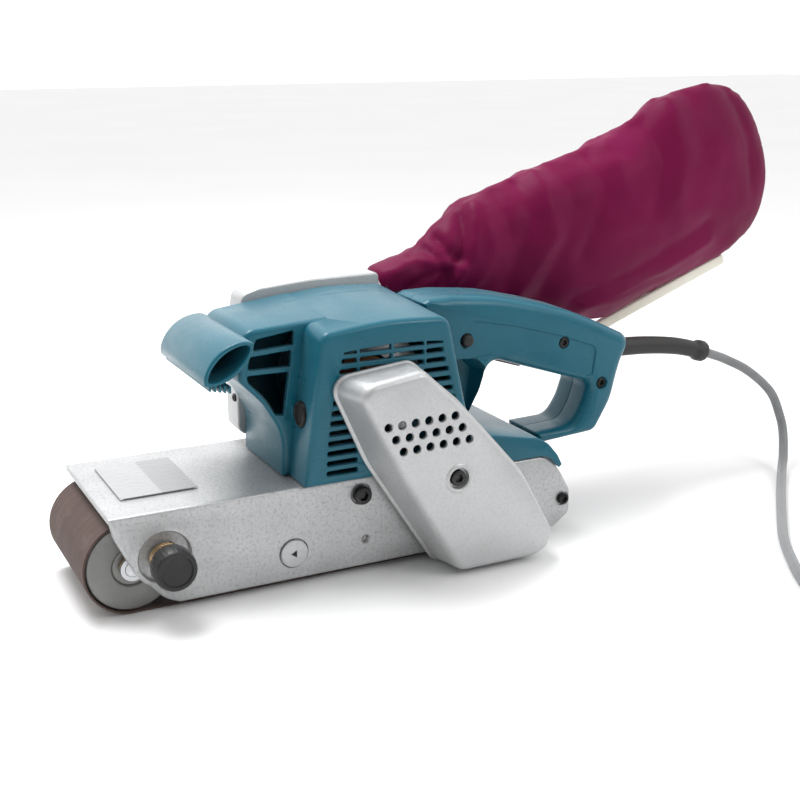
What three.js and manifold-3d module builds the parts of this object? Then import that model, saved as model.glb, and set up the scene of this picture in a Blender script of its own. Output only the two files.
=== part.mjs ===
// Handheld belt sander for a 76 x 610 mm belt, in millimetres, +Z up.
// The origin is the middle of the belt's flat underside. -X is the front, +X the cord end,
// -Y the side with the drive cover and +Y the side with the dust duct.

import * as THREE from 'three';
import { mergeVertices } from 'three/addons/utils/BufferGeometryUtils.js';
import Module from 'manifold-3d';

const wasm = await Module();
wasm.setup();

// Driving dimensions
const GAP = 0.3;
const BELT_WIDTH = 76;
const BELT_LENGTH = 610;
const BELT_THICKNESS = 1;
const BELT_TURN_RADIUS = 25;
const HALF_BASE = (BELT_LENGTH - 2 * Math.PI * (BELT_TURN_RADIUS - BELT_THICKNESS / 2)) / 4;
const AXLE_Z = BELT_TURN_RADIUS;

const WALL_OUT_Y = -45;
const WALL_IN_Y = -41;
const DECK_BOTTOM_Z = 51.5;
const DECK_TOP_Z = 55;
const DECK_FRONT_X = -126;
const DECK_REAR_X = 84;
const DECK_FAR_Y = 47;
const PLATEN_Z = 6;

const HOUSING_NEAR_Y = -50;
const HOUSING_STEP_Y = -27;
const HOUSING_FAR_Y = 32;
const HOUSING_WALL = 3;
const NECK_FRONT_X = -50;
const TOP_RISE = 4.2;

const MOTOR_X = 24;
const MOTOR_Z = 96;
const SHAFT_RADIUS = 4;
const STATOR_RADIUS = 35.5;
const FAN_VANES = 8;
const LAYSHAFT_X = 78;
const LAYSHAFT_Z = 29.25;
const LAYSHAFT_RADIUS = 5;
const PULLEY_PITCH = 4;
const SMALL_PULLEY_TEETH = 14;
const LARGE_PULLEY_TEETH = 28;
const GEAR_MODULE = 1.25;
const PINION_TEETH = 22;
const ROLLER_GEAR_TEETH = 36;
const BEARING_RADIUS = 11;

const BRUSH_CAP_Y = -34;
const COVER_SCREW = [52.7, 57.2];

const YOKE_X = -85;
const KNOB_X = -99;
const KNOB_Z = 30.5;
const LEVER_X = -44;
const LEVER_Y = 30;

const HANDLE_HALF = 18;
const HANDLE_WALL = 3;
const TRIGGER_X = 123;
const DUCT_NEAR_Y = 32.3;
const DUCT_FAR_Y = 53;
const DUCT_WALL = 2.5;
const SPOUT_Y = 44;
const SPOUT_Z = 135.5;
const MOUTH_X = 64;
const SPOUT_RADIUS = 10;
const BAG_Y = 46;
const BAG_CLOTH = 2;
const FASTENER_SLOPE = 0.355;

const CORD_RADIUS = 3;
const COIL_X = 252;
const COIL_Y = -206;
const COIL_MEAN_RADIUS = 35;
const COIL_HALF_WIDTH = 9.5;
const COIL_BOTTOM_Z = 1.1;
const COIL_TOP_Z = 20.2;
const PLUG_X = 288;
const PLUG_Y = -235;
const PLUG_THICKNESS = 13.5;

// Materials
const finishes = {
  teal: new THREE.MeshStandardMaterial({ color: 0x417a8e, roughness: 0.4 }),
  silver: new THREE.MeshStandardMaterial({ color: 0xc8cbcd, roughness: 0.45, metalness: 0.7 }),
  steel: new THREE.MeshStandardMaterial({ color: 0x8d9094, roughness: 0.35, metalness: 1 }),
  black: new THREE.MeshStandardMaterial({ color: 0x1c1d20, roughness: 0.55 }),
  abrasive: new THREE.MeshStandardMaterial({ color: 0x6b4238, roughness: 0.95 }),
  rubber: new THREE.MeshStandardMaterial({ color: 0x3a3a3c, roughness: 0.8 }),
  bronze: new THREE.MeshStandardMaterial({ color: 0x8a6a45, roughness: 0.4, metalness: 1 }),
  copper: new THREE.MeshStandardMaterial({ color: 0xb06a3c, roughness: 0.4, metalness: 1 }),
  cloth: new THREE.MeshStandardMaterial({ color: 0x7a2248, roughness: 0.9 }),
  cream: new THREE.MeshStandardMaterial({ color: 0xe9e4d6, roughness: 0.5 }),
  grey: new THREE.MeshStandardMaterial({ color: 0x8f9296, roughness: 0.6 }),
};

const model = new THREE.Group();

// Joining and cutting

function toSolid(geometry) {
  geometry.deleteAttribute('normal');
  geometry.deleteAttribute('uv');
  const merged = mergeVertices(geometry, 1e-4);
  return new wasm.Manifold(new wasm.Mesh({
    numProp: 3,
    vertProperties: new Float32Array(merged.attributes.position.array),
    triVerts: new Uint32Array(merged.index.array),
  }));
}

function toGeometry(solid) {
  const mesh = solid.getMesh();
  const geometry = new THREE.BufferGeometry();
  geometry.setAttribute('position', new THREE.BufferAttribute(mesh.vertProperties, 3));
  geometry.setIndex(new THREE.BufferAttribute(mesh.triVerts, 1));
  geometry.computeVertexNormals();
  return geometry;
}

function place(name, solid, finish) {
  const mesh = new THREE.Mesh(toGeometry(solid), finishes[finish].clone());
  mesh.name = name;
  model.add(mesh);
}

const join = (...solids) => solids.reduce((whole, piece) => whole.add(piece));
const cut = (solid, ...tools) => tools.reduce((rest, tool) => rest.subtract(tool), solid);

// Outlines in the XZ plane, anticlockwise with X to the right and Z up.
// A corner is [x, z] or [x, z, radius]. A radius becomes an arc, cut short where its sides are short.

const LEAST_RADIUS = 0.5;
const ARC_STEP = 0.6;

function shrink(corners, distance) {
  return corners.map(([x, z, radius = 0], i) => {
    const corner = new THREE.Vector2(x, z);
    const into = corner.clone().sub(new THREE.Vector2(...corners.at(i - 1).slice(0, 2))).normalize();
    const next = new THREE.Vector2(...corners[(i + 1) % corners.length].slice(0, 2));
    const out = next.sub(corner).normalize();
    const a = new THREE.Vector2(-into.y, into.x);
    const b = new THREE.Vector2(-out.y, out.x);
    corner.addScaledVector(a.clone().add(b), distance / (1 + a.dot(b)));
    const turned = radius - Math.sign(into.cross(out)) * distance;
    return [corner.x, corner.y, radius === 0 ? 0 : Math.max(turned, LEAST_RADIUS)];
  });
}

function outline(corners, distance = 0) {
  const points = [];
  shrink(corners, distance).forEach(([x, z, radius], i, all) => {
    const corner = new THREE.Vector2(x, z);
    if (radius === 0) {
      points.push(corner);
      return;
    }
    const back = new THREE.Vector2(...all.at(i - 1).slice(0, 2)).sub(corner);
    const ahead = new THREE.Vector2(...all[(i + 1) % all.length].slice(0, 2)).sub(corner);
    const half = Math.acos(back.dot(ahead) / back.length() / ahead.length()) / 2;
    const reach = Math.min(radius / Math.tan(half), 0.48 * back.length(), 0.48 * ahead.length());
    back.normalize();
    ahead.normalize();
    const centre = corner.clone();
    centre.addScaledVector(back.clone().add(ahead).normalize(), reach / Math.cos(half));
    const start = corner.clone().addScaledVector(back, reach).sub(centre);
    const turn = Math.sign(ahead.cross(back)) * (Math.PI - 2 * half);
    const steps = Math.max(2, Math.ceil(Math.abs(turn) / ARC_STEP));
    for (let k = 0; k <= steps; k += 1) {
      const point = start.clone().rotateAround(new THREE.Vector2(), (turn * k) / steps);
      points.push(point.add(centre));
    }
  });
  return points;
}

function slab(points, y0, y1, holes = []) {
  const shape = new THREE.Shape(points);
  shape.holes = holes.map((hole) => new THREE.Path(hole));
  const geometry = new THREE.ExtrudeGeometry(shape, { depth: y1 - y0, bevelEnabled: false });
  geometry.rotateX(Math.PI / 2).translate(0, y1, 0);
  return toSolid(geometry);
}

function box(x0, x1, y0, y1, z0, z1) {
  const geometry = new THREE.BoxGeometry(x1 - x0, y1 - y0, z1 - z0);
  return toSolid(geometry.translate((x0 + x1) / 2, (y0 + y1) / 2, (z0 + z1) / 2));
}

// A rod lies along X, Y or Z from one coordinate to another, at the other two coordinates.
function rod(axis, radius, from, to, [u, v], sides = 16, endRadius = radius) {
  const geometry = new THREE.CylinderGeometry(endRadius, radius, to - from, sides);
  geometry.translate(0, (from + to) / 2, 0);
  if (axis === 'x') {
    geometry.rotateZ(-Math.PI / 2).translate(0, u, v);
  }
  if (axis === 'y') {
    geometry.translate(u, 0, v);
  }
  if (axis === 'z') {
    geometry.rotateX(Math.PI / 2).translate(u, v, 0);
  }
  return toSolid(geometry);
}

function ring(axis, inner, outer, from, to, at, sides = 18) {
  return cut(rod(axis, outer, from, to, at, sides), rod(axis, inner, from - 1, to + 1, at, sides));
}

// Rings of points, one for each station, joined into one closed skin.
function loft(stations) {
  const count = stations[0].length;
  const positions = stations.flat().flatMap((p) => [p.x, p.y, p.z]);
  const faces = [];
  for (let s = 0; s + 1 < stations.length; s += 1) {
    for (let i = 0; i < count; i += 1) {
      const a = s * count + i;
      const b = s * count + ((i + 1) % count);
      faces.push(a, a + count, b + count, a, b + count, b);
    }
  }
  const flat = stations[0].map((p) => new THREE.Vector2(p.x, p.z));
  const upright = Math.abs(THREE.ShapeUtils.area(flat)) < 1;
  const first = stations[0].map((p) => new THREE.Vector2(upright ? -p.y : p.x, p.z));
  const base = (stations.length - 1) * count;
  THREE.ShapeUtils.triangulateShape(first, []).forEach(([a, b, c]) => {
    faces.push(a, b, c, base + a, base + c, base + b);
  });
  return new wasm.Manifold(new wasm.Mesh({
    numProp: 3,
    vertProperties: new Float32Array(positions),
    triVerts: new Uint32Array(faces),
  }));
}

function screw(x, z, headY, headDepth, headRadius, tipY, shankRadius) {
  const socket = rod('y', headRadius * 0.45, headY - 1, headY + headDepth * 0.55, [x, z], 6);
  const head = rod('y', headRadius, headY, headY + headDepth, [x, z], 12);
  const shank = rod('y', shankRadius, headY + headDepth / 2, tipY, [x, z], 8);
  return cut(join(head, shank), socket);
}

function gearSolid(teeth, module_, bore, y0, y1, [x, z], phase) {
  const pitch = (teeth * module_) / 2;
  const step = (2 * Math.PI) / teeth;
  const points = [];
  for (let k = 0; k < teeth; k += 1) {
    const middle = phase + k * step;
    [[-0.3, -1.2], [-0.12, 0.85], [0.12, 0.85], [0.3, -1.2]].forEach(([across, up]) => {
      const angle = middle + across * step;
      const radius = pitch + up * module_;
      points.push(new THREE.Vector2(x + radius * Math.cos(angle), z + radius * Math.sin(angle)));
    });
  }
  return cut(slab(points, y0, y1), rod('y', bore, y0 - 1, y1 + 1, [x, z], 20));
}

// The abrasive belt and the base it runs on

function stadium(radius) {
  const points = [];
  [[HALF_BASE, -Math.PI / 2], [-HALF_BASE, Math.PI / 2]].forEach(([x, start]) => {
    for (let k = 0; k <= 14; k += 1) {
      const angle = start + (Math.PI * k) / 14;
      const spoke = new THREE.Vector2(Math.cos(angle), Math.sin(angle)).multiplyScalar(radius);
      points.push(spoke.add(new THREE.Vector2(x, AXLE_Z)));
    }
  });
  return points;
}

function makeBelt() {
  const outer = stadium(BELT_TURN_RADIUS);
  const inner = stadium(BELT_TURN_RADIUS - BELT_THICKNESS);
  place('abrasive_belt', slab(outer, -BELT_WIDTH / 2, BELT_WIDTH / 2, [inner]), 'abrasive');
}

function makeBase() {
  const wallOutline = outline([
    [DECK_FRONT_X, DECK_TOP_Z], [-124.1, 44.5], [-114.5, 23.6, 60], [-99.5, 7.2, 16], [-92, 4],
    [135, 3.5, 6], [145.5, 11, 5], [145.5, 25, 8], [137, 40, 20], [127, 48.5, 12], [DECK_REAR_X, 48.5],
    [DECK_REAR_X, DECK_TOP_Z],
  ]);
  const wall = slab(wallOutline, WALL_OUT_Y, WALL_IN_Y);
  const deck = box(DECK_FRONT_X, DECK_REAR_X, WALL_OUT_Y, DECK_FAR_Y, DECK_BOTTOM_Z, DECK_TOP_Z);
  const bridge = box(-50, 56, WALL_IN_Y - 1, 36, PLATEN_Z, PLATEN_Z + 4);
  const frontRib = box(-50, -46, WALL_IN_Y - 1, 20, PLATEN_Z, 47);
  const rearRib = box(44, 48, WALL_IN_Y - 1, 20, PLATEN_Z, 47);
  const layshaftBoss = rod('y', 15, -48, WALL_IN_Y, [LAYSHAFT_X, LAYSHAFT_Z], 24);
  const driveBoss = rod('y', 14, WALL_OUT_Y, -38.3, [HALF_BASE, AXLE_Z], 24);
  const solid = join(wall, deck, bridge, frontRib, rearRib, layshaftBoss, driveBoss);
  place('base_frame', cut(
    solid,
    rod('y', BEARING_RADIUS + GAP, -49, WALL_IN_Y + 1, [LAYSHAFT_X, LAYSHAFT_Z], 24),
    rod('y', BEARING_RADIUS + GAP, -43.3, -38, [HALF_BASE, AXLE_Z], 24),
    rod('y', 13.5, WALL_OUT_Y - 1, -42.6, [KNOB_X, KNOB_Z], 24),
    rod('y', 3 + GAP, WALL_OUT_Y - 1, WALL_IN_Y + 1, [KNOB_X, KNOB_Z], 14),
    rod('y', 6, WALL_OUT_Y - 1, WALL_IN_Y + 1, [-29.5, 19], 20),
    rod('y', 2.25, WALL_OUT_Y - 1, WALL_IN_Y + 1, [12.6, 19], 12),
    rod('y', 2.5 + GAP, WALL_OUT_Y - 1, WALL_IN_Y + 1, [9.9, 45.5], 14),
    rod('y', 2 + GAP, WALL_OUT_Y - 1, WALL_IN_Y + 1, [140, 20.7], 14),
    rod('x', SHAFT_RADIUS + GAP, -51, -45, [0, AXLE_Z], 16),
    rod('z', 2 + GAP, PLATEN_Z - 1, PLATEN_Z + 5, [LEVER_X, LEVER_Y], 12),
  ), 'silver');
  place('platen_pad', box(-58, 58, -37, 37, 1 + GAP, 4), 'black');
  place('platen_plate', box(-58, 58, -37, 37, 4 + GAP, PLATEN_Z - GAP), 'steel');
  place('name_plate', cut(
    box(-114, -73, -22, 31, DECK_TOP_Z + GAP, DECK_TOP_Z + 1.2),
    box(-112, -75, -20, 29, DECK_TOP_Z + 0.9, DECK_TOP_Z + 2),
  ), 'silver');
  const plug = join(
    rod('y', 7.6, -46.3, WALL_OUT_Y - GAP, [-29.5, 19], 20),
    rod('y', 5.7, -46, -42, [-29.5, 19], 16),
    rod('y', 4.2, -47, -46, [-29.5, 19], 3),
  );
  place('arrow_plug', plug, 'silver');
  place('housing_screw', screw(9.9, 45.5, -49, 3.7, 5, -39.5, 2.5), 'black');
  place('frame_screw', screw(140, 20.7, -47.6, 2.3, 3.4, -39.5, 2), 'black');
}

// Rollers, the sprung front carriage, the tracking knob and the release lever

function makeRollers() {
  const rear = [HALF_BASE, AXLE_Z];
  const front = [-HALF_BASE, AXLE_Z];
  place('drive_roller', ring('y', 8, 23.7, -32.5, 36, rear, 36), 'rubber');
  place('drive_axle', rod('y', 7.7, -42.5, 37.5, rear, 20), 'steel');
  place('drive_bearing', ring('y', 8, BEARING_RADIUS, -43, -38.6, rear), 'steel');
  place('idler_roller', ring('y', 6.3, 23.4, -37.3, 37.3, front, 36), 'grey');
  place('idler_bush', ring('y', 4.3, 6, -37.3, 37.3, front, 20), 'bronze');
  place('idler_axle', rod('y', 4, -40.4, 40.4, front, 16), 'steel');
}

function makeCarriage() {
  const armEnd = (y0, y1) => join(
    box(-HALF_BASE, YOKE_X + 3, y0, y1, 20, 30),
    rod('y', 6.5, y0, y1, [-HALF_BASE, AXLE_Z], 18),
  );
  const crossBar = box(YOKE_X - 3.5, YOKE_X + 3, -40.2, 40.2, 20, 30);
  place('idler_yoke', cut(
    join(crossBar, armEnd(-40.2, -38.6), armEnd(38.6, 40.2)),
    rod('y', 4 + GAP, -42, 42, [-HALF_BASE, AXLE_Z], 16),
    rod('z', 2.5 + GAP, 19, 31, [YOKE_X, 0], 14),
  ), 'steel');
  const clevis = join(
    box(YOKE_X - 3, -74, -7, 7, 31, 34),
    box(YOKE_X - 3, -74, -7, 7, 16, 19),
    rod('z', 2.5, 18, 32, [YOKE_X, 0], 14),
  );
  const flange = box(-77, -74, -9, 22, 16, 34);
  const bar = rod('x', SHAFT_RADIUS, -75, -30, [0, AXLE_Z], 16);
  place('tension_slide', join(clevis, flange, bar), 'steel');
  place('tension_spring', coilSpring('x', -73.6, -50.4, 7, 1, 3.5, [0, AXLE_Z]), 'steel');

  const lever = join(
    rod('z', 6, 19, 31, [LEVER_X, LEVER_Y], 18),
    box(LEVER_X, 2, LEVER_Y - 3, LEVER_Y + 3, 20, 30),
    box(2, 12, LEVER_Y - 3, LEVER_Y + 6, 20, 30),
  );
  place('release_lever', cut(lever, rod('z', 2 + GAP, 18, 32, [LEVER_X, LEVER_Y], 12)), 'black');
  place('lever_pin', rod('z', 2, PLATEN_Z + 0.5, 34, [LEVER_X, LEVER_Y], 12), 'steel');

  const knob = cut(
    rod('y', 11, -66, -54, [KNOB_X, KNOB_Z], 24),
    rod('y', 7, -67, -63.5, [KNOB_X, KNOB_Z], 16),
    rod('y', 3 + GAP, -67, -53, [KNOB_X, KNOB_Z], 14),
  );
  place('tracking_knob', knob, 'black');
  place('tracking_screw', rod('y', 3, -65, -41.4, [KNOB_X, KNOB_Z], 14), 'steel');
  place('tracking_spring', coilSpring('y', -53.6, -42.9, 7.4, 1, 3, [KNOB_X, KNOB_Z]), 'bronze');
}

class Helix extends THREE.Curve {
  constructor(radius, height, turns) {
    super();
    Object.assign(this, { radius, height, turns });
  }

  getPoint(t) {
    const angle = 2 * Math.PI * this.turns * t;
    return new THREE.Vector3(
      this.radius * Math.cos(angle),
      this.height * t,
      this.radius * Math.sin(angle),
    );
  }
}

function circle(radius, sides) {
  const points = [];
  for (let k = 0; k < sides; k += 1) {
    const angle = (2 * Math.PI * k) / sides;
    points.push(new THREE.Vector2(radius * Math.cos(angle), radius * Math.sin(angle)));
  }
  return points;
}

function tube(curve, radius, sides, steps) {
  const shape = new THREE.Shape(circle(radius, sides));
  return new THREE.ExtrudeGeometry(shape, { steps, extrudePath: curve, bevelEnabled: false });
}

function coilSpring(axis, from, to, meanRadius, wireRadius, turns, [u, v]) {
  const low = from + wireRadius;
  const curve = new Helix(meanRadius, to - wireRadius - low, turns);
  const geometry = tube(curve, wireRadius, 5, Math.round(turns * 10));
  geometry.translate(0, low, 0);
  if (axis === 'x') {
    geometry.rotateZ(-Math.PI / 2).translate(0, u, v);
  } else {
    geometry.translate(u, 0, v);
  }
  return toSolid(geometry);
}

// The motor and its housing

const HOUSING_CORNERS = [
  [-23.6, DECK_TOP_Z + GAP], [80, DECK_TOP_Z + GAP], [71, 91.1, 40], [60.5, 138.6, 8],
  [24, 140.4, 150], [-13.3, 136.4, 6],
];

const NECK_CORNERS = [
  [-27.5, DECK_TOP_Z + GAP], [0, DECK_TOP_Z + GAP], [0, 138.4], [-44, 137], [NECK_FRONT_X, 131, 4],
  [NECK_FRONT_X, 110.4, 4], [-36.9, 96.8, 30], [-26.2, 78.3, 30],
];

// The section of the front grip: two arcs between a rear top edge and a front bottom edge.
function gripSection(grow = 0) {
  const along = new THREE.Vector2(-26, -19).normalize();
  const rear = new THREE.Vector2(-48, 135).addScaledVector(along, -grow);
  const front = new THREE.Vector2(-74, 116).addScaledVector(along, grow);
  const chord = front.clone().sub(rear);
  const normal = new THREE.Vector2(chord.y, -chord.x).normalize();
  const points = [];
  for (let k = 0; k < 20; k += 1) {
    const side = k < 10 ? 1 : -1;
    const t = k < 10 ? k / 10 : 2 - k / 10;
    const bulge = ((side > 0 ? 7 : 8) + grow) * Math.sin(Math.PI * t) ** 0.6;
    points.push(rear.clone().addScaledVector(chord, t).addScaledVector(normal, -side * bulge));
  }
  return points;
}

// The housing's top rises from its near edge to the duct.
function riseTop(point) {
  const share = Math.min(Math.max((point[2] - 122) / 12, 0), 1);
  point[2] += (share * TOP_RISE * (point[1] - HOUSING_NEAR_Y)) / (HOUSING_FAR_Y - HOUSING_NEAR_Y);
}

function makeHousing() {
  const innerFarY = HOUSING_FAR_Y - HOUSING_WALL;
  const nearPart = slab(outline(HOUSING_CORNERS), HOUSING_NEAR_Y, HOUSING_FAR_Y);
  const neckPart = slab(outline(NECK_CORNERS), HOUSING_STEP_Y, HOUSING_FAR_Y);
  const cavity = slab(outline(HOUSING_CORNERS, HOUSING_WALL), HOUSING_NEAR_Y + HOUSING_WALL, innerFarY);
  const neckCavity = slab(outline(NECK_CORNERS, HOUSING_WALL), HOUSING_STEP_Y + HOUSING_WALL, innerFarY);
  const bottom = box(-20, 72, HOUSING_NEAR_Y + HOUSING_WALL, innerFarY, 50, 62);
  const throughNeck = box(-20, 6, HOUSING_STEP_Y + HOUSING_WALL, innerFarY, 62, 133);
  const shaft = [MOTOR_X, MOTOR_Z];
  let shell = cut(join(nearPart, neckPart), cavity, neckCavity, bottom, throughNeck).warp(riseTop);
  shell = join(
    shell,
    ring('y', BEARING_RADIUS + GAP, 14.5, HOUSING_NEAR_Y, -42, shaft),
    ring('y', BEARING_RADIUS + GAP, 14.5, 24, HOUSING_FAR_Y, shaft),
  );
  const tools = [
    rod('y', BEARING_RADIUS + GAP, -52, -41, shaft),
    rod('y', BEARING_RADIUS + GAP, 23, 34, shaft),
    slab(gripSection(GAP), -46, HOUSING_FAR_Y + 1),
    rod('x', 6.8 + GAP, -30, -12, [BRUSH_CAP_Y, 91], 20),
    rod('x', 6.8 + GAP, 60, 80, [BRUSH_CAP_Y, 96], 20),
    rod('y', 2.5 + GAP, -51, -46, COVER_SCREW, 12),
  ];
  for (let k = 0; k < 6; k += 1) {
    const angle = (Math.PI * (2 * k + 1)) / 6;
    const at = [MOTOR_X + 24 * Math.cos(angle), MOTOR_Z + 24 * Math.sin(angle)];
    tools.push(rod('y', 6.5, 28, 34, at, 10));
  }
  for (let k = 0; k < 12; k += 1) {
    const z = 61 + 5.8 * k;
    const left = -11.4 + ((z - 58.6) / 71.6) * 9.1;
    const right = z > 112 ? 51 : 8;
    tools.push(box(left, right, -51, -46, z, z + 2.7));
  }
  for (let k = 0; k < 3; k += 1) {
    const z = 104 + 10 * k;
    tools.push(box(-44 + 5 * (2 - k), -22, -28, -23, z, z + 7));
  }
  place('motor_housing', cut(shell, ...tools), 'teal');

  const grip = cut(
    slab(gripSection(), WALL_OUT_Y, HOUSING_FAR_Y),
    slab(gripSection(-2.6), WALL_OUT_Y - 1, HOUSING_FAR_Y - HOUSING_WALL),
  );
  place('front_grip', grip, 'teal');
  place('brush_cap_front', rod('x', 6.8, -20.8, -13, [BRUSH_CAP_Y, 91], 20), 'black');
  place('brush_cap_rear', rod('x', 6.8, 65, 72.5, [BRUSH_CAP_Y, 96], 20), 'black');
  place('carbon_brush_front', box(-3, 11.2, -34, -29, MOTOR_Z - 3, MOTOR_Z + 3), 'black');
  place('carbon_brush_rear', box(36.8, 51, -34, -29, MOTOR_Z - 3, MOTOR_Z + 3), 'black');
}

function makeMotor() {
  const shaft = [MOTOR_X, MOTOR_Z];
  place('stator', ring('y', 20.5, STATOR_RADIUS, -20, 20, shaft, 32), 'steel');
  place('armature', join(
    rod('y', SHAFT_RADIUS, -66, 49, shaft, 16),
    rod('y', 19, -17, 17, shaft, 24),
    rod('y', 14, -22, 21.5, shaft),
    rod('y', 12, -38, -25, shaft),
  ), 'copper');
  place('motor_bearing_near', ring('y', SHAFT_RADIUS + GAP, BEARING_RADIUS, -49.5, -42.5, shaft), 'steel');
  place('motor_bearing_far', ring('y', SHAFT_RADIUS + GAP, BEARING_RADIUS, 24.5, 31.5, shaft), 'steel');
  const vanes = [];
  for (let k = 0; k < FAN_VANES; k += 1) {
    const vane = new THREE.BoxGeometry(20.5, 9, 1.8);
    vane.translate(19.25, 0, 0).rotateY((2 * Math.PI * k) / FAN_VANES).translate(MOTOR_X, 42.5, MOTOR_Z);
    vanes.push(toSolid(vane));
  }
  const fanDisc = ring('y', SHAFT_RADIUS + GAP, 30, 36, 38.5, shaft, 24);
  const hub = ring('y', SHAFT_RADIUS + GAP, 10, 36, 47, shaft);
  place('dust_fan', join(fanDisc, hub, ...vanes), 'silver');
}

// The timing drive under its cover, and the gear pair that turns the rear roller

function pulley(teeth, bore, y0, y1, [x, z]) {
  const radius = (teeth * PULLEY_PITCH) / (2 * Math.PI);
  const body = ring('y', bore, radius - 0.6, y0 + 1, y1 - 1, [x, z]);
  const flanges = [[y0, y0 + 1.2], [y1 - 1.2, y1]].map(([a, b]) => (
    ring('y', bore, radius + 0.9, a, b, [x, z])
  ));
  return join(body, ...flanges);
}

function beltOutline(smallRadius, largeRadius) {
  const across = Math.atan2(LAYSHAFT_Z - MOTOR_Z, LAYSHAFT_X - MOTOR_X);
  const distance = Math.hypot(LAYSHAFT_X - MOTOR_X, LAYSHAFT_Z - MOTOR_Z);
  const lean = Math.acos((largeRadius - smallRadius) / distance);
  const points = [];
  const arc = (x, z, radius, start, end) => {
    for (let k = 0; k <= 10; k += 1) {
      const angle = start + ((end - start) * k) / 10;
      points.push(new THREE.Vector2(x + radius * Math.cos(angle), z + radius * Math.sin(angle)));
    }
  };
  const away = across + Math.PI;
  arc(MOTOR_X, MOTOR_Z, smallRadius, away - lean, away + lean);
  arc(LAYSHAFT_X, LAYSHAFT_Z, largeRadius, away + lean, away - lean + 2 * Math.PI);
  return points;
}

function makeDrive() {
  const shaft = [MOTOR_X, MOTOR_Z];
  const lay = [LAYSHAFT_X, LAYSHAFT_Z];
  const radiusOf = (teeth) => (teeth * PULLEY_PITCH) / (2 * Math.PI);
  place('motor_pulley', pulley(SMALL_PULLEY_TEETH, SHAFT_RADIUS + GAP, -65, -54, shaft), 'steel');
  place('large_pulley', pulley(LARGE_PULLEY_TEETH, LAYSHAFT_RADIUS + GAP, -65, -54, lay), 'steel');
  const outer = beltOutline(radiusOf(SMALL_PULLEY_TEETH) + 1.2, radiusOf(LARGE_PULLEY_TEETH) + 1.2);
  const inner = beltOutline(radiusOf(SMALL_PULLEY_TEETH) - 0.2, radiusOf(LARGE_PULLEY_TEETH) - 0.2);
  place('timing_belt', slab(outer, -63, -56, [inner]), 'rubber');
  place('layshaft', rod('y', LAYSHAFT_RADIUS, -66, -33, lay, 16), 'steel');
  place('layshaft_bearing', ring('y', LAYSHAFT_RADIUS + GAP, BEARING_RADIUS, -48, -41, lay), 'steel');
  const towards = Math.atan2(AXLE_Z - LAYSHAFT_Z, HALF_BASE - LAYSHAFT_X);
  place('pinion', gearSolid(PINION_TEETH, GEAR_MODULE, 5.3, -37.8, -33.3, lay, towards), 'steel');
  const gap = Math.PI / ROLLER_GEAR_TEETH;
  place(
    'roller_gear',
    gearSolid(ROLLER_GEAR_TEETH, GEAR_MODULE, 8, -37.8, -33.3, [HALF_BASE, AXLE_Z], towards + Math.PI + gap),
    'steel',
  );
}

// The cover's flange and its face, corner for corner. A lean of 1 is the face.
const COVER_RIM = [
  [50, 1.5, 10], [104, 1.5, 10], [113.5, 6.5, 6], [116.5, 17.5, 8], [95.5, 57.5, 60], [64.5, 93, 60],
  [35.5, 118.6, 9], [-12.5, 113.6, 9], [8.5, 66, 80],
];
const COVER_FACE = [
  [54, 1.8, 10], [103, 1.8, 10], [111.8, 6.5, 6], [115, 17, 8], [93.5, 55.5, 60], [62.5, 90.5, 60],
  [33, 119.4, 8], [-8, 113.8, 8], [22, 56.4, 80],
];

function coverSkin(stations) {
  return loft(stations.map(([y, lean, inset]) => {
    const corners = COVER_RIM.map(([x, z, radius], i) => [
      x + (COVER_FACE[i][0] - x) * lean,
      z + (COVER_FACE[i][1] - z) * lean,
      radius,
    ]);
    return outline(corners, inset).map((p) => new THREE.Vector3(p.x, y, p.y));
  }));
}

function makeCover() {
  const shell = coverSkin([[-76, 1, 1.5], [-74.5, 1, 0], [-50.4, 0, 0]]);
  const hollow = coverSkin([[-74, 1, 3.5], [-72, 1, 2], [-49, 0, 2]]);
  const tools = [rod('y', 2.5 + GAP, -77, -60, COVER_SCREW, 12)];
  for (let row = 0; row < 3; row += 1) {
    for (let k = 0; k < 6; k += 1) {
      const at = [11.3 + 4.3 * row + 7.75 * k, 91 - 7 * row + 0.25 * k];
      tools.push(rod('y', 2.3, -78, -71, at, 6));
    }
  }
  const pocket = rod('y', 7.5, -77, -73.2, COVER_SCREW, 20);
  const boss = rod('y', 9.2, -75.5, -70, COVER_SCREW, 20);
  place('drive_cover', cut(join(cut(shell, hollow), boss), pocket, ...tools), 'silver');
  place('cover_screw', screw(...COVER_SCREW, -76.7, 3.2, 4.6, -46.5, 2.5), 'black');
}

// The rear guard over the drive roller, the handle and its switch

function makeRearGuard() {
  const top = outline([
    [84.4, 49], [125, 49, 12], [129.4, 47.6, 6], [137, 40.4], [139, 41.9, 1], [135.6, 48.5, 12],
    [129.1, 56, 12], [122.9, 60, 14], [92, 66.6, 20], [84.4, 66.6],
  ]);
  const hollow = [
    [80, 40], [136, 36], [133, 45.8], [127, 53.4], [121.6, 57], [92, 63.6], [80, 63.6],
  ].map(([x, z]) => new THREE.Vector2(x, z));
  const shell = slab(top, WALL_OUT_Y - 0.8, 45);
  place('rear_guard', cut(
    shell,
    slab(hollow, WALL_OUT_Y + 2.5, 42),
    box(80, 150, WALL_OUT_Y + 2.5, 50, 38, 51.6),
  ), 'teal');
}

const HANDLE_CORNERS = [
  [61.9, 139.2], [71.7, 91.3, 40], [77.4, 67.2], [98, 67.2], [105.8, 102.6, 8], [177.3, 79.1, 5],
  [172.4, 64.4, 30], [165.5, 53.6, 10], [139.6, 52.4], [141, 45.6, 3], [182, 47.6, 8], [194, 66, 30],
  [200, 90, 60], [207.5, 104, 9], [160, 126.5, 200], [110, 138.6, 120], [80, 141.6, 30], [66, 141],
];

const HANDLE_SCREWS = [[156.7, 106.4], [184.9, 78.3]];

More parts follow.
